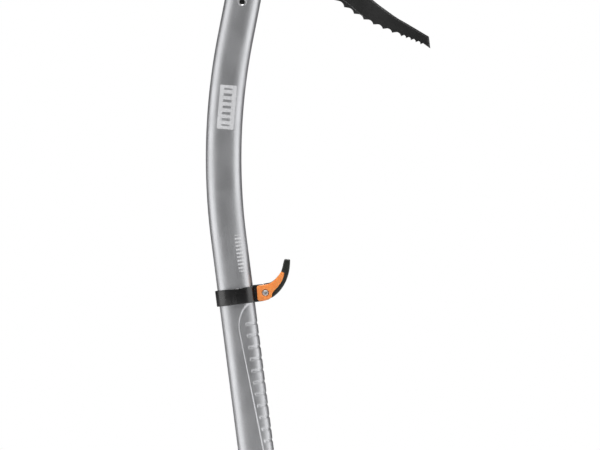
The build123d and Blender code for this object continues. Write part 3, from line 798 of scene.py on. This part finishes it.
class Finishes:
    """Every material of the axe, by the record's slot name."""

    def __init__(self, effects: Effects, marks: tuple[Mark, ...]) -> None:
        """Builds them all.

        Args:
            effects: The shared node groups.
            marks: What is etched on the shaft.
        """
        dark = {"speckle_size": 0.6, "speckle_depth": 0.02}
        moulded = {"speckle_size": 0.4, "speckle_depth": 0.012}
        wanted: dict[str, Finish] = {
            "shaft_aluminium": AnodisedTube(
                "satin aluminium", (0.56, 0.565, 0.58), 0.43, 1.0, speckle_size=0.5, speckle_depth=0.012,
                roughness_swing=0.03, tint_swing=0.05, marks=marks,
            ),
            "head_alloy": Finish(
                "black forging", (0.02, 0.02, 0.021), 0.42, 0.7, speckle_size=0.5, speckle_depth=0.03
            ),
            "pick_steel": CoatedSteel("black pick steel", (0.013, 0.013, 0.013), 0.46, 0.3, **dark),
            "adze_steel": CoatedSteel("black adze steel", (0.014, 0.014, 0.014), 0.46, 0.3, **dark),
            "ground_steel": Finish(
                "ground steel", (0.42, 0.42, 0.43), 0.34, 1.0, speckle_size=0.25, speckle_depth=0.008
            ),
            # worn edges: bare steel where the coat is worn off, and along the pick's grind line also a
            # painted highlight
            "worn_edge_and_highlight": Finish("worn edge and painted highlight", (0.16, 0.16, 0.16), 0.42, 0.9, speckle_size=0.8, tint_swing=0.5),
            "fasteners": Finish(
                "zinc plate", (0.50, 0.50, 0.52), 0.32, 1.0, speckle_size=0.3, speckle_depth=0.005
            ),
            "rivets": Finish(
                "turned steel", (0.60, 0.60, 0.61), 0.36, 1.0, speckle_size=0.3, speckle_depth=0.004
            ),
            # the wells of the hollow head rivets: near-black painted shade, not a colour of the steel
            "rivet_well_painted_shade": Finish("rivet well painted shade", (0.03, 0.03, 0.03), 0.6, 0.3),
            "spike_steel": Finish(
                "blasted steel", (0.46, 0.46, 0.48), 0.42, 1.0, speckle_size=0.35, speckle_depth=0.02
            ),
            "plug_plastic": Moulding(
                "plug plastic", (0.022, 0.022, 0.023), 0.55, speckle_size=0.5, speckle_depth=0.02
            ),
            "band_plastic": Moulding(
                "band plastic", (0.007, 0.007, 0.007), 0.3,
                specular=0.8, speckle_size=0.45, speckle_depth=0.02,
            ),
            "liner_rubber": Moulding(
                "liner rubber", (0.03, 0.03, 0.03), 0.8, speckle_size=0.8, speckle_depth=0.05
            ),
            "horn_plastic": Moulding("horn plastic", (0.013, 0.0145, 0.0115), 0.32, specular=0.8, **moulded),
            "cheek_plastic": Moulding(
                "orange plastic", (0.86, 0.29, 0.075), 0.36, tint_swing=0.04, scatter=0.25, **moulded
            ),
            "pivot_steel": Finish(
                "pivot steel", (0.80, 0.80, 0.80), 0.3, 0.75, speckle_size=0.2, speckle_depth=0.004
            ),
            "bush_metal": Finish("bush bronze", (0.55, 0.38, 0.16), 0.3, 1.0),
        }
        self.made = {slot: finish.build(effects) for slot, finish in wanted.items()}

    def dress(self, piece: Piece, slot: str) -> None:
        """Gives a piece one material all over, and bare metal where its coat is worn off, which on the pick's
        grind line is also a painted highlight.
        """
        worn = {face.index for face in piece.data.polygons if face.material_index == WORN}
        piece.data.materials.clear()
        piece.data.materials.append(self.made[slot])
        if worn:
            self.paint(piece, "worn_edge_and_highlight", lambda face: face.index in worn)

    def paint(self, piece: Piece, slot: str, wanted: Callable[[Face], bool]) -> None:
        """Gives some of a dressed piece's faces another material.

        Args:
            piece: The piece.
            slot: The other material's slot.
            wanted: Accepts the faces that get it.
        """
        piece.data.materials.append(self.made[slot])
        for face in piece.data.polygons:
            if wanted(face):
                face.material_index = len(piece.data.materials) - 1


# ---------------------------------------------------------------- the axe's sub-assemblies


@dataclass
class CentreLine:
    """The bent line that the shaft and everything on it follow."""

    head_lean: float = math.radians(11.1)
    grip_lean: float = math.radians(7.33)
    bend_radius: float = 522.0 * MM
    eye_to_bend: float = 86.2 * MM
    eye_to_tube: float = 22.0 * MM
    grip_length: float = 213.0 * MM

    @property
    def head(self) -> Matrix:
        """The HEAD frame."""
        return Matrix.Rotation(self.head_lean, 4, "Y")

    @property
    def grip(self) -> Matrix:
        """The GRIP frame."""
        centre = self.head @ Vector((self.bend_radius, 0, -self.eye_to_bend))
        turn = Matrix.Rotation(-self.grip_lean, 4, "Y")
        return Matrix.Translation(centre) @ turn @ Matrix.Translation((-self.bend_radius, 0, 0))

    @property
    def tube_end(self) -> Matrix:
        """A frame like GRIP with its origin at the tube's lower end."""
        return self.grip @ Matrix.Translation((0, 0, -self.grip_length))


@dataclass
class PressedGrip:
    """The shallow panel pressed into the shaft's flanks, and the finger grooves on its front, in GRIP."""

    depth: float = 0.7 * MM
    half_depth: float = 15.0 * MM
    half_width: float = 10.0 * MM
    start: float = 56.0 * MM
    full: float = 78.0 * MM
    rear: float = -1.0 * MM
    taper: float = math.radians(4.16)
    step: float = 1.0 * MM
    groove_start: float = 74.0 * MM
    groove_pitch: float = 9.9 * MM
    groove_count: int = 14
    groove_half: float = 1.9 * MM
    groove_depth: float = 0.6 * MM
    groove_inset: float = 5.2 * MM
    groove_gap: float = 2.6 * MM
    groove_fade: float = 1.6 * MM
    groove_rear: float = 0.6
    corner_power: float = 1.9
    slope_reach: float = 0.2 * MM

    def edge(self, drop: float) -> float:
        """How far forward the panel's rear edge lies at a drop below the bend."""
        if drop >= self.full:
            return self.rear + (drop - self.full) * math.tan(self.taper)
        if drop <= self.start:
            return self.half_depth * 2
        share = (self.full - drop) / (self.full - self.start)
        return self.rear + (self.half_depth - self.rear) * (1 - math.sqrt(1 - share**self.corner_power))

    @staticmethod
    def ease(value: float) -> float:
        """A smooth rise from 0 to 1 over the same range."""
        t = min(1.0, max(0.0, value))
        return t * t * (3 - 2 * t)

    def panel(self, p: float, drop: float) -> float:
        """How deep the panel is at a point on the flank, as a share of its depth."""
        rise = self.edge(drop + self.slope_reach) - self.edge(drop - self.slope_reach)
        slope = rise / (2 * self.slope_reach)
        inside = (p - self.edge(drop)) / math.hypot(1.0, slope)
        x = min(1.0, abs(p) / self.half_depth)
        pressed = min(1.0, abs(p) / (self.half_depth + self.depth))
        outer = self.half_width * math.sqrt(1 - x * x)
        inner = (self.half_width - self.depth) * math.sqrt(1 - pressed * pressed)
        return self.ease(inside / self.step + 0.5) * max(0.0, (outer - inner) / self.depth)

    def groove(self, p: float, drop: float) -> float:
        """How deep the grooves are at a point, as a share of their depth."""
        number = round((drop - self.groove_start) / self.groove_pitch)
        if not 0 <= number < self.groove_count:
            return 0.0
        off = abs(drop - self.groove_start - number * self.groove_pitch) / self.groove_half
        if off >= 1:
            return 0.0
        begin = max(self.groove_inset, self.edge(drop) + self.groove_gap)
        across = self.ease((p - begin) / self.groove_fade + 0.5)
        forward = self.groove_rear + (1 - self.groove_rear) * self.ease(p / self.half_depth)
        return 0.5 * (1 + math.cos(math.pi * off)) * across * forward


@dataclass
class Assembly:
    """What every sub-assembly shares: the centre line that it is placed along, and the body it rides on."""

    line: CentreLine
    body: Body = Body.SHAFT

    def pieces(self) -> Iterable[tuple[Piece, str]]:
        """Builds each piece and gives it with its material slot."""
        raise NotImplementedError

    def touch_up(self, piece: Piece, finishes: Finishes) -> None:
        """Gives parts of a dressed piece another finish, where it has them."""


@dataclass
class Shaft(Assembly):
    """The bent oval tube with its pressed grip, and the rivets at both ends."""

    grip: PressedGrip = field(default_factory=PressedGrip)
    columns: int = 208
    ring_cuts: int = 60
    panel_cuts: int = 4
    wall: float = 1.6 * MM
    bend_steps: int = 44
    outer_oval: float = 0.97
    dense_margin: float = 4.0 * MM
    press_margin: float = 2.0 * MM
    head_rivet_drops: tuple[float, ...] = (11.5 * MM, 33.2 * MM)
    rim_radius: float = 3.8 * MM
    well_radius: float = 2.2 * MM
    well_depth: float = 2.6 * MM
    well_floor: float = 0.75
    well_dish: float = 0.4 * MM
    well_slack: float = 0.15 * MM
    # well_shade: how far under the rim's crest the painted shade in the well begins
    well_shade: float = 0.45 * MM
    rim_height: float = 0.5 * MM
    rim_shank: float = 0.8 * MM
    rim_sink: float = 0.5 * MM
    spike_rivet_rises: tuple[float, ...] = (10.0 * MM, 26.0 * MM)
    dome_radius: float = 4.0 * MM
    dome_height: float = 1.3 * MM
    dome_flat: float = 0.6 * MM
    dome_lip: Ring = (1.9 * MM, 0.08 * MM)
    dome_shank: float = 1.6 * MM
    dome_sink: float = 0.7 * MM

    def pieces(self) -> Iterable[tuple[Piece, str]]:
        """The pressed tube and the rivets at both ends."""
        yield self.tube(), "shaft_aluminium"
        for number, drop in enumerate(self.head_rivet_drops, 1):
            rivet = place(self.head_rivet(-self.line.eye_to_tube - drop), self.line.head)
            yield named(rivet, f"head_rivet_{number}", "head_rivets"), "rivets"
        for number, rise in enumerate(self.spike_rivet_rises, 1):
            rivet = place(self.spike_rivet(rise), self.line.tube_end)
            yield named(rivet, f"spike_rivet_{number}", "spike_rivets"), "rivets"

    def touch_up(self, piece: Piece, finishes: Finishes) -> None:
        """Paints the insides of the head rivets' wells near black, as painted shade."""
        if not piece.name.startswith("head_rivet"):
            return
        box = [Vector(corner) for corner in piece.bound_box]
        centre = sum(box, Vector()) / len(box)

        def in_well(face: Face) -> bool:
            """Whether a face lies inside the rolled rim and under its crest."""
            off = math.hypot(face.center.x - centre.x, face.center.z - centre.z)
            depth = self.grip.half_width + self.rim_height - abs(face.center.y)
            return off < self.well_radius + self.well_slack and depth > self.well_shade

        # paints the well's inside near black: painted shade in the hollow
        finishes.paint(piece, "rivet_well_painted_shade", in_well)

    def head_rivet(self, z: float) -> Piece:
        """A hollow rivet in HEAD: a rolled rim round a well on both flanks, whose inside touch_up paints with
        shade.
        """
        reach = self.grip.half_width + self.rim_height
        roll = (self.rim_radius - self.well_radius) / 2
        middle = (self.well_radius + roll, roll - reach)
        floor = self.well_depth - reach
        rings = [(self.well_radius * self.well_floor, floor), (self.well_radius, floor - self.well_dish)]
        rings += rounding(middle, roll, 180, 270) + rounding(middle, roll, 270, 360)[1:]
        return self._rivet(rings, self.rim_radius, self.rim_sink, self.rim_shank, z)

    def spike_rivet(self, z: float) -> Piece:
        """A solid rivet at the tube's lower end, domed on both flanks."""
        reach = self.grip.half_width + self.dome_height
        round_off = self.dome_height * 0.8
        rings = [(self.dome_flat, -reach), (self.dome_lip[0], -reach + self.dome_lip[1])]
        rings += rounding((self.dome_radius - round_off, round_off - reach), round_off, 285, 360)
        return self._rivet(rings, self.dome_radius, self.dome_sink, self.dome_shank, z)

    def _rivet(self, rings: list[Ring], radius: float, sink: float, inset: float, z: float) -> Piece:
        """A rivet through both flanks.

        Args:
            rings: Its near end, from the middle outwards.
            radius: The end's radius.
            sink: How far the end reaches into the flank.
            inset: How much thinner the shank is.
            z: The height of its axis.
        Returns:
            The new object.
        """
        under = -self.grip.half_width + sink
        piece = turned(mirrored([*rings, (radius, under), (radius - inset, under)]), 0.0, z)
        smooth(piece, TURNED_ANGLE)
        return piece

    def tube(self) -> Piece:
        """The tube: one oval drawn down the centre line, with an inner wall, then pressed."""
        line = self.line
        bend = line.head_lean + line.grip_lean
        depth, width = self.grip.half_depth, self.grip.half_width
        top, start = -line.eye_to_tube, -line.eye_to_bend
        centre = (line.bend_radius, 0.0, start)
        deselect()
        bpy.ops.mesh.primitive_circle_add(vertices=self.columns, radius=1.0, location=(0, 0, top))
        piece = bpy.context.object
        piece.name = "shaft_tube_pressed"
        piece.scale = (depth, width, 1.0)
        settled(piece)
        down = Matrix.Rotation(-bend, 3, "Y") @ Vector((0, 0, -1))
        with Edit(piece):
            self._extrude((0, 0, start - top))
            bpy.ops.mesh.spin(steps=self.bend_steps, angle=bend, center=centre, axis=(0, 1, 0))
            self._extrude(down * line.grip_length)
        place(piece, line.grip.inverted() @ line.head)
        face_outwards(piece)
        apply_modifier(piece, "SOLIDIFY", thickness=self.wall, offset=-1.0, use_rim=True)
        zone = -(self.grip.start - self.dense_margin)
        with Edit(piece) as edit:
            self._rings(edit, lambda m, e: self._is_outer(e) and m.z < 0, self.ring_cuts)
            self._rings(
                edit, lambda m, e: self._is_outer(e) and -line.grip_length < m.z < zone, self.panel_cuts
            )
        self._press(piece)
        for drop in self.head_rivet_drops:
            tool = bar(self.rim_radius - self.rim_shank, 4 * width, (0, 0, top - drop))
            cut(piece, place(tool, line.grip.inverted() @ line.head))
        smooth(piece, TURNED_ANGLE)
        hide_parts("shaft_tube")
        return place(piece, line.grip)

    @staticmethod
    def _extrude(move: Iterable[float]) -> None:
        """Extrudes the selected loop of edges and moves the new one."""
        bpy.ops.mesh.extrude_edges_move(TRANSFORM_OT_translate={"value": tuple(move)})

    def _is_outer(self, edge: Edge) -> bool:
        """Whether an edge runs along z on the tube's outer surface, in GRIP."""
        along = edge.verts[1].co - edge.verts[0].co
        upright = abs(along.z) > 4 * math.hypot(along.x, along.y)
        return upright and self._oval(edge.verts[0].co) > self.outer_oval

    def _oval(self, point: Vector) -> float:
        """Where a point of the straight grip lies: 1 on the outer oval, and less inside it."""
        return (point.x / self.grip.half_depth) ** 2 + (point.y / self.grip.half_width) ** 2

    @staticmethod
    def _rings(edit: Edit, wanted: EdgeTest, cuts: int) -> None:
        """Divides the chosen lengthwise edges, which puts new rings between the old ones."""
        edit.choose(wanted)
        bpy.ops.mesh.subdivide(number_cuts=cuts)

    def _press(self, piece: Piece) -> None:
        """Presses the panel and the grooves in along the surface's normals."""
        panel = piece.vertex_groups.new(name="panel")
        grooves = piece.vertex_groups.new(name="grooves")
        for vertex in piece.data.vertices:
            p, drop = vertex.co.x, -vertex.co.z
            if self._oval(vertex.co) < self.outer_oval or drop < self.grip.start - self.press_margin:
                continue
            panel.add([vertex.index], self.grip.panel(p, drop), "REPLACE")
            grooves.add([vertex.index], self.grip.groove(p, drop), "REPLACE")
        for group, depth in (("panel", self.grip.depth), ("grooves", self.grip.groove_depth)):
            apply_modifier(
                piece, "DISPLACE", vertex_group=group, strength=-depth, mid_level=0.0, direction="NORMAL"
            )
        piece.vertex_groups.clear()


@dataclass
class BoltPlace:
    """Where one head bolt sits in HEAD: its distance in front of the eye, and the faces that it clamps."""

    name: str
    x: float
    clamp: float


@dataclass
class Head(Assembly):
    """The forging on the shaft's top with its pick, adze and fasteners."""

    bolts: tuple[BoltPlace, ...] = (
        BoltPlace("front", 20.5 * MM, 6.25 * MM),
        BoltPlace("rear", -18.0 * MM, 8.7 * MM),
    )
    spine_start: float = 31.0 * MM
    spine_round: float = 1.1 * MM
    grind_line: float = 0.4 * MM
    grind_reach: float = 82.0 * MM
    bolt_radius: float = 3.0 * MM
    bolt_head_radius: float = 5.2 * MM
    bolt_head_height: float = 3.0 * MM
    bolt_crown: float = 1.65 * MM
    socket_radius: float = 2.3 * MM
    socket_depth: float = 1.8 * MM
    bolt_tip: tuple[float, float, float] = (0.6 * MM, 0.1 * MM, 0.5 * MM)
    bolt_break: float = 0.14 * MM
    nut_across: float = 9.0 * MM
    nut_height: float = 3.6 * MM
    nut_corner_drop: float = 0.55 * MM
    nut_face: float = 0.86
    nut_break: float = 0.15 * MM
    thread_radius: float = 2.9 * MM
    countersink: float = 0.6 * MM
    washer_radius: float = 5.6 * MM
    washer_height: float = 0.8 * MM
    washer_slack: float = 0.05 * MM
    washer_break: float = 0.2 * MM
    forging_round: float = 0.5 * MM
    pick_break: float = 0.2 * MM
    adze_break: float = 0.35 * MM

    def pieces(self) -> Iterable[tuple[Piece, str]]:
        """The forging, the pick, the adze, and a bolt, washer and nut at both places."""
        yield softened_copy("head_body", "head_forging", self.forging_round), "head_alloy"
        yield self.pick(), "pick_steel"
        yield self.adze(), "adze_steel"
        for spot in self.bolts:
            bolt = named(self.bolt(spot), f"{spot.name}_bolt_turned", f"{spot.name}_bolt")
            yield place(bolt, self.line.head), "fasteners"
            washer = named(self.washer(spot), f"{spot.name}_washer", "head_washers")
            yield place(washer, self.line.head), "fasteners"
            nut = named(self.nut(spot), f"{spot.name}_nut", "head_nuts")
            yield place(nut, self.line.head), "fasteners"

    def touch_up(self, piece: Piece, finishes: Finishes) -> None:
        """Bares the ground edge of the adze."""
        if piece.name != "adze_blade":
            return
        local = self.line.head.inverted()
        turn = local.to_3x3()

        def is_ground(face: Face) -> bool:
            """Whether a face belongs to the bevel under the adze's cutting edge."""
            return (local @ face.center).x < -self.grind_reach and (turn @ face.normal).z < -0.2

        finishes.paint(piece, "ground_steel", is_ground)

    def pick(self) -> Piece:
        """The pick, with its spine rounded by hand and its teeth and bevels crisp and a little worn. The
        lighter strip along the grind line is partly worn steel and partly a painted highlight.
        """
        piece = merged_copy("pick")
        local = self.line.head.inverted()
        up = self.line.head.to_3x3() @ Vector((0.35, 0, 1)).normalized()

        def on_spine(middle: Vector, edge: Edge) -> bool:
            """Whether an edge lies between a flank and the pick's top, in front of the head."""
            normals = [face.normal for face in edge.link_faces]
            flank = any(abs(normal.y) > 0.95 for normal in normals)
            top = any(normal.dot(up) > 0.6 for normal in normals)
            return flank and top and (local @ middle).x > self.spine_start

        def on_grind(_: Vector, edge: Edge) -> bool:
            """Whether an edge lies between a flank and the bevel that is ground above the teeth."""
            tilts = sorted(abs(face.normal.y) for face in edge.link_faces)
            return 0.9 < tilts[0] < 0.995 < tilts[1]

        round_rim(piece, on_spine, self.spine_round, 5)
        # a lighter strip along the grind line: partly worn steel, partly a painted highlight for the light
        # that the crease catches
        round_rim(piece, on_grind, self.grind_line, 1, 6, worn=True)
        round_edges(piece, self.pick_break, 1, 20, worn=True)
        return named(piece, "pick_blade", "pick")

    def adze(self) -> Piece:
        """The adze with its palm rest, its edges broken and a little worn."""
        piece = merged_copy("adze")
        round_edges(piece, self.adze_break, 2, BREAK_ANGLE, worn=True)
        return named(piece, "adze_blade", "adze")

    def bolt(self, spot: BoltPlace) -> Piece:
        """A button-head bolt along y with a hex socket, its head on the near side."""
        face = -spot.clamp - self.washer_height
        crown = face - self.bolt_head_height
        end = spot.clamp + self.nut_height
        corner = (self.bolt_head_radius - self.bolt_crown, crown + self.bolt_crown)
        rings = [(self.socket_radius * CROWN_SHARE, crown), *rounding(corner, self.bolt_crown, 270, 360, 8)]
        start, stop, chamfer = self.bolt_tip
        rings += [(self.bolt_head_radius, face), (self.bolt_radius, face), (self.bolt_radius, end - start)]
        rings += [(self.bolt_radius - chamfer, end - stop)]
        piece = turned(rings, spot.x, 0.0)
        cut(piece, bar(self.socket_radius, 2 * self.socket_depth, (spot.x, crown, 0), sides=6))
        round_edges(piece, self.bolt_break, 2, 35)
        return piece

    def washer(self, spot: BoltPlace) -> Piece:
        """A flat ring with broken edges under the bolt's head."""
        middle = (spot.x, -spot.clamp - self.washer_height / 2, 0)
        piece = bar(self.washer_radius, self.washer_height, middle, 64)
        cut(piece, bar(self.bolt_radius + self.washer_slack, 4 * self.washer_height, middle))
        round_edges(piece, self.washer_break, 2, 35)
        return piece

    def nut(self, spot: BoltPlace) -> Piece:
        """A hex nut on the far side, its corners turned down and its thread countersunk."""
        inner, outer = spot.clamp, spot.clamp + self.nut_height
        corner = self.nut_across / math.sqrt(3)
        wide, bore = corner * 1.05, self.thread_radius
        piece = bar(corner, self.nut_height, (spot.x, (inner + outer) / 2, 0), sides=6, turn=math.pi / 6)
        shoulder = outer - self.nut_corner_drop
        turned_down = [(wide, inner - MM), (wide, shoulder), (corner * self.nut_face, outer)]
        cut(piece, turned(turned_down, spot.x, 0.0), "INTERSECT")
        sink = [(bore, inner - MM), (bore, outer - 0.5 * MM), (bore + self.countersink, outer + 0.1 * MM)]
        cut(piece, turned(sink, spot.x, 0.0))
        round_edges(piece, self.nut_break, 2, 25)
        return piece


@dataclass
class SpikeEnd(Assembly):
    """The spike and the plug that closes the shaft's lower end."""

    def pieces(self) -> Iterable[tuple[Piece, str]]:
        """The spike and both plug halves."""
        yield softened_copy("spike", "spike_blade", 0.3 * MM), "spike_steel"
        yield softened_copy("spike_plug_left", "spike_plug_far", 0.3 * MM), "plug_plastic"
        yield softened_copy("spike_plug_right", "spike_plug_near", 0.3 * MM), "plug_plastic"


@dataclass
class FingerRest(Assembly):
    """The strap round the shaft with its liner, shoe and pivot."""

    body: Body = Body.REST
    rest_drop: float = 49.8 * MM
    strap_round: float = 0.5 * MM
    pivot_reach: float = 24.7 * MM
    ear_outer: float = 5.2 * MM
    screw_radius: float = 1.5 * MM
    head_radius: float = 2.65 * MM
    head_height: float = 2.1 * MM
    head_crown: float = 0.8 * MM
    socket_radius: float = 1.25 * MM
    socket_depth: float = 1.1 * MM
    screw_reach: float = 0.4
    screw_tip: float = 0.3 * MM
    screw_slack: float = 0.03 * MM

    @property
    def rest(self) -> Matrix:
        """A frame like GRIP with its origin in the middle of the strap."""
        return self.line.grip @ Matrix.Translation((0, 0, -self.rest_drop))

    @property
    def pivot(self) -> Matrix:
        """A frame like GRIP with its origin on the lever's axis."""
        return self.rest @ Matrix.Translation((self.pivot_reach, 0, 0))

    def pieces(self) -> Iterable[tuple[Piece, str]]:
        """The strap, its shoe, and the pivot screw with its nut."""
        yield self.strap(), "band_plastic"
        yield softened_copy("band_liner", "rest_liner", 0.2 * MM), "liner_rubber"
        yield softened_copy("pressure_shoe", "rest_shoe", 0.4 * MM), "band_plastic"
        yield place(named(self.screw(), "pivot_screw_turned", "pivot_screw"), self.pivot), "pivot_steel"
        yield place(named(self.nut(), "pivot_nut_turned", "pivot_nut"), self.pivot), "pivot_steel"

    def strap(self) -> Piece:
        """The strap with its outward edges rounded. Its inner corners stay free for the lever's root."""
        piece = merged_copy("rest_band")
        round_rim(piece, lambda _, edge: edge.is_convex, self.strap_round, 3)
        smooth(piece, 35)
        return named(piece, "rest_strap", "rest_band")

    def _head(self, side: Side) -> list[Ring]:
        """The rings of a crowned head outside one ear, from its crown inwards."""
        crown = self.ear_outer + self.head_height
        corner = (self.head_radius - self.head_crown, crown - self.head_crown)
        rings = [(self.socket_radius * CROWN_SHARE, crown), *rounding(corner, self.head_crown, 90, 0)]
        return [(radius, side.value * y) for radius, y in [*rings, (self.head_radius, self.ear_outer)]]

    def _socket(self, piece: Piece, side: Side) -> Piece:
        """Cuts the hex socket into a head's crown and breaks its edges."""
        crown = side.value * (self.ear_outer + self.head_height)
        cut(piece, bar(self.socket_radius, 2 * self.socket_depth, (0, crown, 0), sides=6))
        round_edges(piece, 0.1 * MM, 2, 35)
        return piece

    def screw(self) -> Piece:
        """The screw on which the lever turns, its head on the near side."""
        end = self.ear_outer + self.head_height * self.screw_reach
        shank = [(self.screw_radius, -self.ear_outer), (self.screw_radius, end - self.screw_tip)]
        rings = [*self._head(Side.NEAR), *shank, (self.screw_radius - self.screw_tip, end)]
        return self._socket(turned(rings, 0.0, 0.0, 48), Side.NEAR)

    def nut(self) -> Piece:
        """The round nut on the far side, bored for the screw."""
        piece = turned(self._head(Side.FAR), 0.0, 0.0, 48)
        bore = self.head_height * self.screw_reach + self.screw_slack
        cut(piece, bar(self.screw_radius + self.screw_slack, 2 * bore, (0, self.ear_outer, 0), 32))
        return self._socket(piece, Side.FAR)


@dataclass
class Lever(Assembly):
    """The lever that locks the finger rest: a black horn between orange side plates."""

    body: Body = Body.LEVER
    outer_face: float = 7.5 * MM
    plate_round: float = 0.7 * MM
    horn_round: float = 0.8 * MM
    hole_reach: float = 3.6 * MM
    seam: float = 0.4 * MM
    heel_reach: float = 7.2 * MM
    heel_round: float = 0.5 * MM
    edge_break: float = 0.16 * MM

    def pieces(self) -> Iterable[tuple[Piece, str]]:
        """The horn and both side plates."""
        core, far, near = "trigger_core", "trigger_cheek_left", "trigger_cheek_right"
        yield self.shaped(core, "lever_horn", self.horn_round, (far, near)), "horn_plastic"
        yield self.shaped(far, "lever_plate_far", self.plate_round, (core,)), "cheek_plastic"
        yield self.shaped(near, "lever_plate_near", self.plate_round, (core,)), "cheek_plastic"

    def shaped(self, node: str, name: str, width: float, beside: tuple[str, ...]) -> Piece:
        """A merged copy of a node with its outer rim rounded wide, and its other edges a little.

        Args:
            node: The CAD node.
            name: The new piece's name.
            width: How far the outer rim's rounding reaches.
            beside: The nodes that it meets, along which the rim stays crisp.
        Returns:
            The new object.
        """
        piece = merged_copy(node)
        to_pivot = FingerRest(self.line).pivot.inverted()
        meshes = [frame["nodes"][other].data for other in beside]
        trees = [
            BVHTree.FromPolygons([v.co for v in mesh.vertices], [f.vertices[:] for f in mesh.polygons])
            for mesh in meshes
        ]

        def on_rim(middle: Vector, _: Edge) -> bool:
            """Whether an edge lies on an outer face, clear of the pivot's hole and of the seams."""
            spot = to_pivot @ middle
            inside = abs(middle.y) < self.outer_face - 0.02 * MM
            if inside or math.hypot(spot.x, spot.z) < self.hole_reach:
                return False
            return all(tree.find_nearest(middle)[3] > self.seam for tree in trees)

        def on_heel(middle: Vector, edge: Edge) -> bool:
            """Whether an edge across the lever is the heel that passes under the ears at full swing."""
            spot = to_pivot @ middle
            along = (edge.verts[1].co - edge.verts[0].co).normalized()
            low = spot.z < -self.hole_reach and math.hypot(spot.x, spot.z) < self.heel_reach
            return low and abs(along.y) > 0.9 and edge.is_convex

        round_rim(piece, on_rim, width)
        round_rim(piece, on_heel, self.heel_round, 2)
        round_edges(piece, self.edge_break, 2, 32)
        return named(piece, name, node)


def show_all_cad(finishes: Finishes) -> None:
    """Dresses every CAD node that still shows in its slot's material."""
    slots = {row["node"]: row["material_slot"] for row in frame["record"]["subparts"]}
    for name, node in frame["nodes"].items():
        if node.hide_render:
            continue
        for index in range(len(node.material_slots)):
            node.material_slots[index].material = finishes.made[slots[name]]


@dataclass
class Studio:
    """A white studio: a pale floor, strip lights at both sides, a soft front light and the camera."""

    aim: tuple[float, float, float] = (37.8 * MM, 0.0, -241.1 * MM)
    view_width: float = 504.0 * MM
    distance: float = 3.2
    floor_drop: float = 400.0 * MM
    floor_colour: tuple[float, ...] = (0.8, 0.8, 0.8, 1.0)
    floor_glow: float = 0.72
    white: tuple[float, ...] = (1.0, 1.0, 1.0, 1.0)
    fill: float = 0.1
    lights: tuple[tuple[str, tuple[float, float, float], tuple[float, float], float], ...] = (
        ("left strip", (-1.53, -0.47, 0.0), (1.25, 2.2), 13.5),
        ("right strip", (1.53, -0.47, 0.0), (1.25, 2.2), 13.0),
        ("front overhead", (0.0, -1.2, 2.2), (1.2, 1.2), 68.0),
        ("rear overhead", (0.3, 1.6, 1.9), (1.2, 1.2), 26.0),
    )

    def camera(self) -> None:
        """Puts up the camera, square to the axe's side."""
        data = bpy.data.cameras.new("camera")
        data.sensor_width = 36.0
        data.lens = data.sensor_width * self.distance / self.view_width
        data.clip_end = 50.0
        camera = linked("camera", data)
        camera.location = (self.aim[0], -self.distance, self.aim[2])
        camera.rotation_euler = (math.pi / 2, 0, 0)
        bpy.context.scene.camera = camera

    def light(self, name: str, where: Sequence[float], size: tuple[float, float], watts: float) -> None:
        """Hangs one soft box that faces the middle of the axe.

        Args:
            name: Its name.
            where: Where it hangs.
            size: Its width and height.
            watts: Its power.
        """
        data = bpy.data.lights.new(name, "AREA")
        data.shape = "RECTANGLE"
        data.size, data.size_y = size
        data.energy = watts
        lamp = linked(name, data)
        lamp.location = where
        towards = Vector((0.0, 0.0, self.aim[2])) - Vector(where)
        lamp.rotation_euler = towards.to_track_quat("-Z", "Y").to_euler()

    def world(self) -> None:
        """White behind the axe, and a dim even light on it."""
        world = bpy.data.worlds.new("studio")
        bpy.context.scene.world = world
        world.use_nodes = True
        nodes = Nodes(world.node_tree)
        world.node_tree.nodes.clear()
        dim, seen = (
            nodes.add("ShaderNodeBackground", {"Color": self.white, "Strength": strength}).outputs[0]
            for strength in (self.fill, 1.0)
        )
        direct = nodes.add("ShaderNodeLightPath").outputs["Is Camera Ray"]
        mix = nodes.add("ShaderNodeMixShader", {0: direct, 1: dim, 2: seen})
        nodes.add("ShaderNodeOutputWorld", {"Surface": mix.outputs[0]})

    def floor(self, below: float) -> None:
        """Lays a pale floor under the hanging axe."""
        deselect()
        bpy.ops.mesh.primitive_plane_add(size=8.0, location=(0, 0, below - self.floor_drop))
        floor = bpy.context.object
        floor.name = "floor"
        material = bpy.data.materials.new("pale floor")
        material.use_nodes = True
        nodes = Nodes(material.node_tree)
        seen = nodes.add("ShaderNodeLightPath").outputs["Is Camera Ray"]
        looks = {
            "Base Color": self.floor_colour,
            "Roughness": 0.9,
            "Emission Color": self.white,
            "Emission Strength": nodes.maths("MULTIPLY", seen, self.floor_glow),
        }
        nodes.feed(material.node_tree.nodes["Principled BSDF"], looks)
        floor.data.materials.append(material)
        floor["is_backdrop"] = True

    def build(self, below: float) -> None:
        """Sets up everything round the axe."""
        bpy.context.scene.view_settings.view_transform = "Standard"
        self.camera()
        self.world()
        self.floor(below)
        for name, (x, y, rise), size, watts in self.lights:
            self.light(name, (x, y, self.aim[2] + rise), size, watts)


def main() -> None:
    logging.basicConfig(level=logging.INFO, format="%(message)s")
    cad_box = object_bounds()
    line = CentreLine()
    effects = Effects()
    marks = (
        Mark((-23.5 * MM, -142.4 * MM), math.radians(4.7), 14.0 * MM, 37.0 * MM, 5.2 * MM, 0.42, True),
        Mark((-12.6 * MM, -264.6 * MM), -line.grip_lean, 5.6 * MM, 31.0 * MM, 3.1 * MM, 0.45, False),
    )
    finishes = Finishes(effects, marks)
    Studio().build(cad_box[0].z)
    for assembly in (Shaft(line), Head(line), SpikeEnd(line), FingerRest(line), Lever(line)):
        for piece, slot in assembly.pieces():
            finishes.dress(piece, slot)
            assembly.touch_up(piece, finishes)
            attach(piece, assembly.body.value)
            LOG.info("%s: %d faces", piece.name, len(piece.data.polygons))
    show_all_cad(finishes)


if __name__ == "__main__":
    main()
